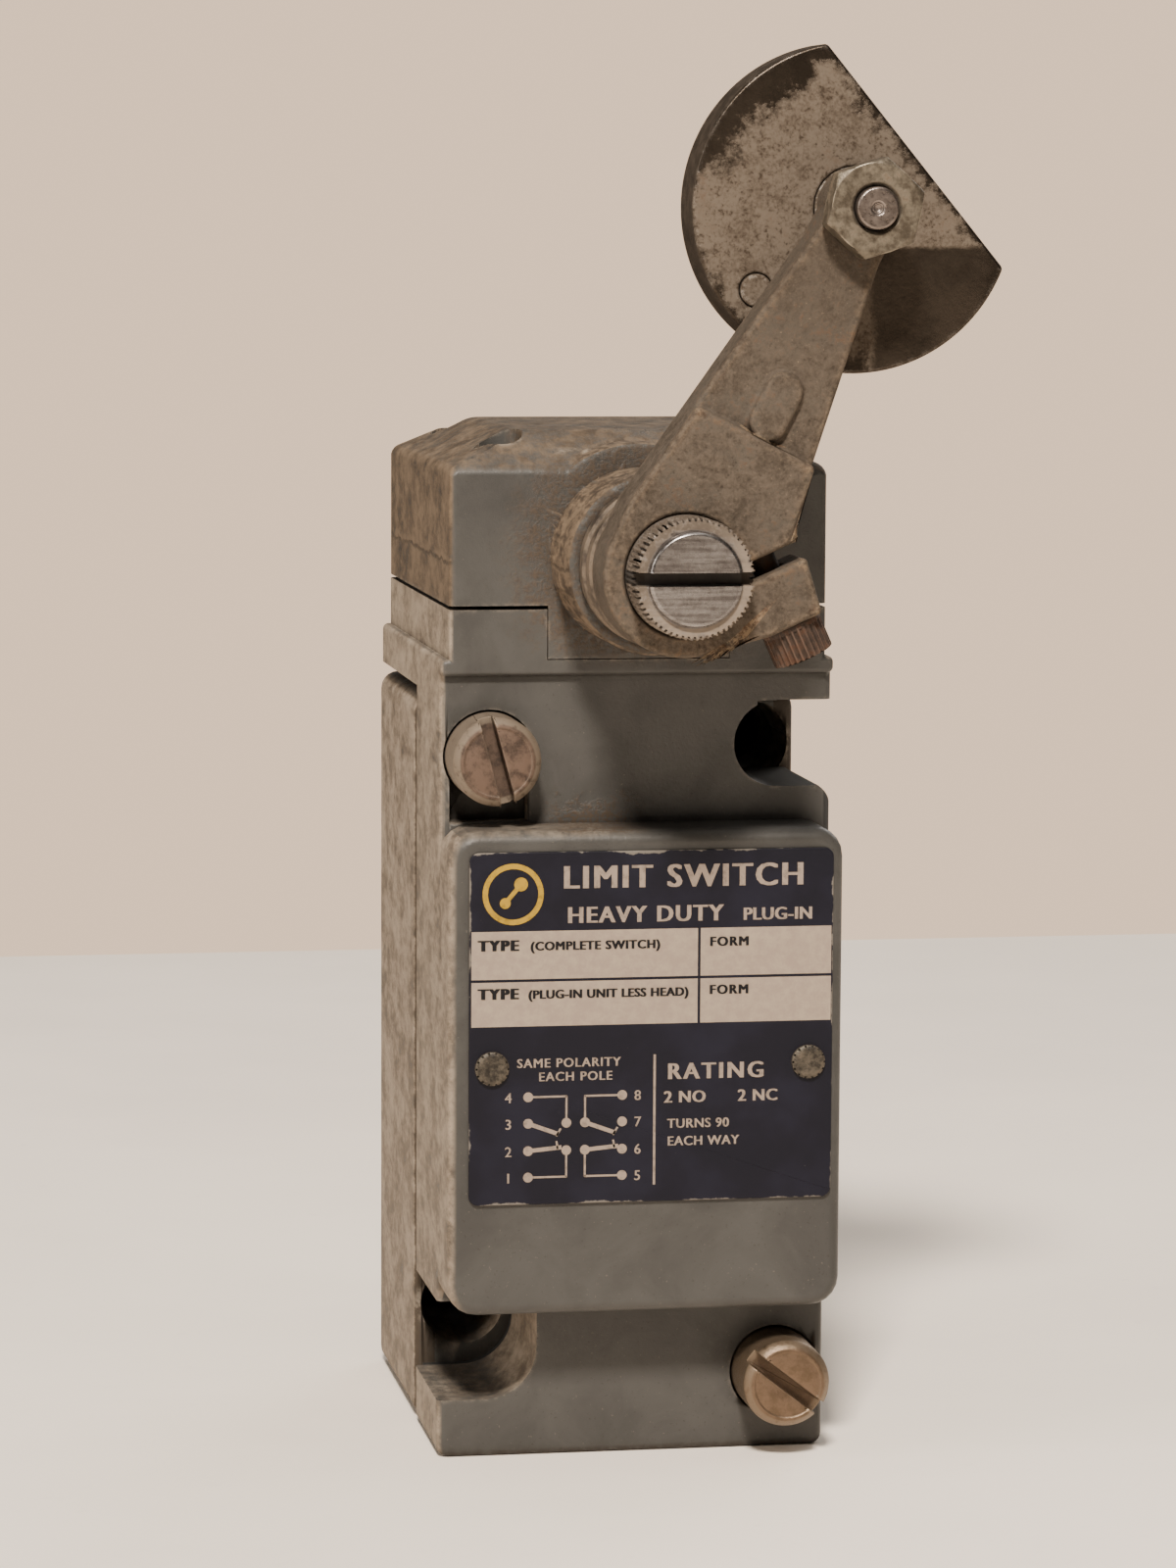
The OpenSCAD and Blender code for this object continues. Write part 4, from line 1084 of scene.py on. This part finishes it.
words = [
    # text, x, height, size, weight, spacing
    ("LIMIT SWITCH", -8.9, 60.0, 3.3, 3, 1.19),
    ("HEAVY DUTY", -8.4, 56.5, 2.35, 3, 1.16),
    ("PLUG-IN", 9.6, 56.5, 1.8, 3, 1.06),
    ("RATING", 1.9, 40.4, 2.35, 3, 1.24),
    ("2 NO", 1.6, 38.0, 1.7, 3, 1.1),
    ("2 NC", 9.2, 38.0, 1.7, 3, 1.1),
    ("SAME POLARITY", -13.4, 41.9, 1.3, 2, 1.15),
    ("EACH POLE", -11.2, 40.5, 1.3, 2, 1.15),
    ("TURNS 90", 2.0, 35.4, 1.35, 2, 1.08),
    ("EACH WAY", 2.0, 33.6, 1.35, 2, 1.08),
]
darkWords = [
    ("TYPE", -17.4, 53.8, 1.55, 6, 1.25),
    ("(COMPLETE SWITCH)", -12.1, 53.8, 1.25, 4, 1.12),
    ("FORM", 6.2, 53.9, 1.35, 4, 1.2),
    ("TYPE", -17.4, 48.9, 1.55, 6, 1.25),
    ("(PLUG-IN UNIT LESS HEAD)", -12.3, 48.9, 1.25, 4, 1.08),
    ("FORM", 6.2, 49.0, 1.35, 4, 1.2),
]
diagram = {
    "rows": [38.9, 36.2, 33.4, 30.7],
    "poles": [(-12.2, -8.3, 4, -14.6), (-2.6, -6.4, 8, -1.4)],  # outer x, inner x, first number, its x
    "blades": [-12.2, -6.4],
    "line": 0.2,        # widths of the wires, the blades and the line at the right of the diagram
    "blade": 0.42,
    "divide": 0.24,
    "dot": 0.5,
    "digit": 1.45,
}


def contactDiagram():
    # two poles of four terminals, each with a closed and an open blade
    parts = [stroke((0.7, 29.7), (0.7, 42.9), diagram["divide"])]
    first, second, third, last = diagram["rows"]
    thin = diagram["line"]
    wide = diagram["blade"]
    for outer, inner, number, numberX in diagram["poles"]:
        for index, height in enumerate(diagram["rows"]):
            parts.append(dot(outer, height, diagram["dot"]))
            parts.append(lettering(str(number - index), numberX, height - 0.55, diagram["digit"], 1))
        for end, middle in ((first, second), (last, third)):
            parts.append(stroke((outer, end), (inner, end), thin))
            parts.append(stroke((inner, end), (inner, middle), thin))
            parts.append(dot(inner, middle, diagram["dot"]))
    for x in diagram["blades"]:
        parts.append(stroke((x, second), (x + 3.0, second - 1.1), wide))
        parts.append(stroke((x + 2.9, second - 1.3), (x + 3.3, second - 0.6), thin))
        parts.append(stroke((x, third), (x + 3.3, third + 0.3), wide))
        parts.append(stroke((x + 2.9, third + 0.9), (x + 3.0, third + 0.2), thin))
    return parts


sign = {
    "hub": (-14.6, 58.6), "hubRadius": 0.55, "roller": (-13.0, 60.5), "rollerRadius": 0.7, "arm": 0.45,
    "middle": (-13.8, 59.5), "ring": (3.1, 2.55),   # outer and inner radius
}


def plateSign():
    # a plain sign of a lever and a roller in a ring
    outer, inner = sign["ring"]
    front, back = plateFront - 0.05, plateFront + printed["sunk"]
    ring = addRod("sign_ring", *sign["middle"], outer, front, back, 48)
    cut(ring, addRod("sign_hole", *sign["middle"], inner, plateFront - 1, plateFront + 1, 48))
    hub = dot(*sign["hub"], sign["hubRadius"])
    roller = dot(*sign["roller"], sign["rollerRadius"])
    arm = stroke(sign["hub"], sign["roller"], sign["arm"])
    return joinAll([ring, hub, roller, arm], "nameplate_sign")


def platePrinting():
    light = [lettering(*line) for line in words]
    light += contactDiagram()
    finishPiece(joinAll(light, "nameplate_lettering"), "unit", creamInk, "nameplate_ink")
    dark = [lettering(*line) for line in darkWords]
    finishPiece(joinAll(dark, "nameplate_field_words"), "unit", blackInk, "nameplate_ink")
    finishPiece(plateSign(), "unit", goldInk, "nameplate_ink")


rivet = {
    "places": [(-15.9, 41.9), (16.5, 41.9)], "radius": 1.7,
    "teeth": 14, "toothRadius": 0.13, "toothDepth": (-54.9, -54.25),
}


def plateRivets():
    # low round heads with small notches round the rim
    made = []
    r = rivet["radius"]
    steps = [(-53.7, 1.05), (-54.1, 1.05), (-54.1, r), (-54.5, r), (-54.65, r * 0.9), (-54.7, r * 0.7),
             (-54.6, 0.3)]
    rim = r * 0.95
    for x, height in rivet["places"]:
        rivetHead = turned("rivet_part", x, height, steps, 48)
        for index in range(rivet["teeth"]):
            angle = index * 2 * math.pi / rivet["teeth"]
            cut(rivetHead, addRod("rivet_tool", x + rim * math.cos(angle), height + rim * math.sin(angle),
                                  rivet["toothRadius"], *rivet["toothDepth"], 8))
        made.append(smooth(rivetHead, 40))
    finishPiece(joinAll(made, "nameplate_rivet_heads"), "unit", rivetMetal, "rivet_metal",
                "nameplate_rivets")


nameplate()
platePrinting()
plateRivets()
print("nameplate")


# ---------- floor, light and camera ----------

stageLook = {
    "floor": (0.96, 0.87, 0.77),
    "size": 2.4, "back": 0.31, "thick": 0.03,   # in metres, back is how far it goes on behind the switch
    "room": (0.95, 0.69, 0.480), "roomStrength": 1.36,   # pale room seen beyond the floor
    "fill": (0.95, 0.89, 0.82), "fillStrength": 0.07,
}


def floorPaint():
    # pale board with a very faint cloud
    p = Paint("floor_board")
    colour = stageLook["floor"]
    cloud = p.noise(90, 4, 0.6)
    grain = p.noise(2.5, 4, 0.6)
    tone = p.mix(p.step(cloud, 0.35, 0.65) * 0.35, colour, [c * 0.85 for c in colour])
    tone = p.mix(p.step(grain, 0.6, 0.8) * 0.2, tone, [c * 0.75 for c in colour])
    p.use(color=tone, roughness=0.85, normal=p.bump(cloud, 0.3, 3))
    return p.material


def stage():
    look = stageLook
    bpy.ops.object.select_all(action="DESELECT")
    middle = (0, look["back"] - look["size"] / 2, base)
    bpy.ops.mesh.primitive_plane_add(size=look["size"], location=middle)
    floor = newPiece("floor")
    bpy.ops.object.mode_set(mode="EDIT")
    bpy.ops.mesh.select_all(action="SELECT")
    bpy.ops.mesh.extrude_region_move(TRANSFORM_OT_translate={"value": (0, 0, -look["thick"])})
    bpy.ops.mesh.select_all(action="SELECT")
    bpy.ops.mesh.normals_make_consistent(inside=False)
    bpy.ops.object.mode_set(mode="OBJECT")
    floor.data.materials.append(floorPaint())


lightAim = Vector((0, -0.04, 0.03))


def areaLight(name, where, size, power, colour):
    bpy.ops.object.light_add(type="AREA", location=where)
    lamp = bpy.context.object
    lamp.name = name
    lamp.data.size = size
    lamp.data.energy = power
    lamp.data.color = colour
    lamp.rotation_euler = (lightAim - Vector(where)).to_track_quat("-Z", "Y").to_euler()


lights = [
    # name, place in metres, size, power, colour
    ("key_light", (-0.22, -0.95, 0.98), 0.17, 36.5, (1.0, 0.90, 0.79)),
    ("left_light", (-1.0, -0.35, 0.45), 0.6, 5.3, (1.0, 0.92, 0.83)),
    ("top_light", (0.1, -0.1, 1.0), 0.8, 3.0, (1.0, 0.94, 0.88)),
    ("rear_light", (0.75, 0.85, 0.65), 0.7, 6.0, (1.0, 0.94, 0.88)),
]


def lighting():
    # four soft lamps, a faint fill from all round, and a pale room behind everything
    for name, where, size, power, colour in lights:
        areaLight(name, where, size, power, colour)
    world = bpy.data.worlds.new("room")
    world.use_nodes = True
    tree = world.node_tree
    fill = tree.nodes["Background"]
    fill.inputs[0].default_value = (*stageLook["fill"], 1)
    fill.inputs[1].default_value = stageLook["fillStrength"]
    room = tree.nodes.new("ShaderNodeBackground")
    room.inputs[0].default_value = (*stageLook["room"], 1)
    room.inputs[1].default_value = stageLook["roomStrength"]
    path = tree.nodes.new("ShaderNodeLightPath")
    both = tree.nodes.new("ShaderNodeMixShader")
    tree.links.new(path.outputs["Is Camera Ray"], both.inputs[0])
    tree.links.new(fill.outputs[0], both.inputs[1])
    tree.links.new(room.outputs[0], both.inputs[2])
    tree.links.new(both.outputs[0], tree.nodes["World Output"].inputs[0])
    bpy.context.scene.world = world


cameraLook = {
    "place": (-91.61, -553.41, 128.58),
    "turn": 9.7, "tilt": -6.54, "roll": 0.29,
    "lens": 117.05, "sensor": 36,
}


def camera():
    bpy.ops.object.camera_add()
    eye = bpy.context.object
    eye.data.lens = cameraLook["lens"]
    eye.data.sensor_width = cameraLook["sensor"]
    aim = Matrix.Rotation(math.radians(-cameraLook["turn"]), 4, "Z")
    aim = aim @ Matrix.Rotation(math.radians(90 + cameraLook["tilt"]), 4, "X")
    aim = aim @ Matrix.Rotation(math.radians(cameraLook["roll"]), 4, "Z")
    eye.matrix_world = Matrix.Translation(place(*cameraLook["place"])) @ aim
    bpy.context.scene.camera = eye


stage()
lighting()
camera()
print("stage")
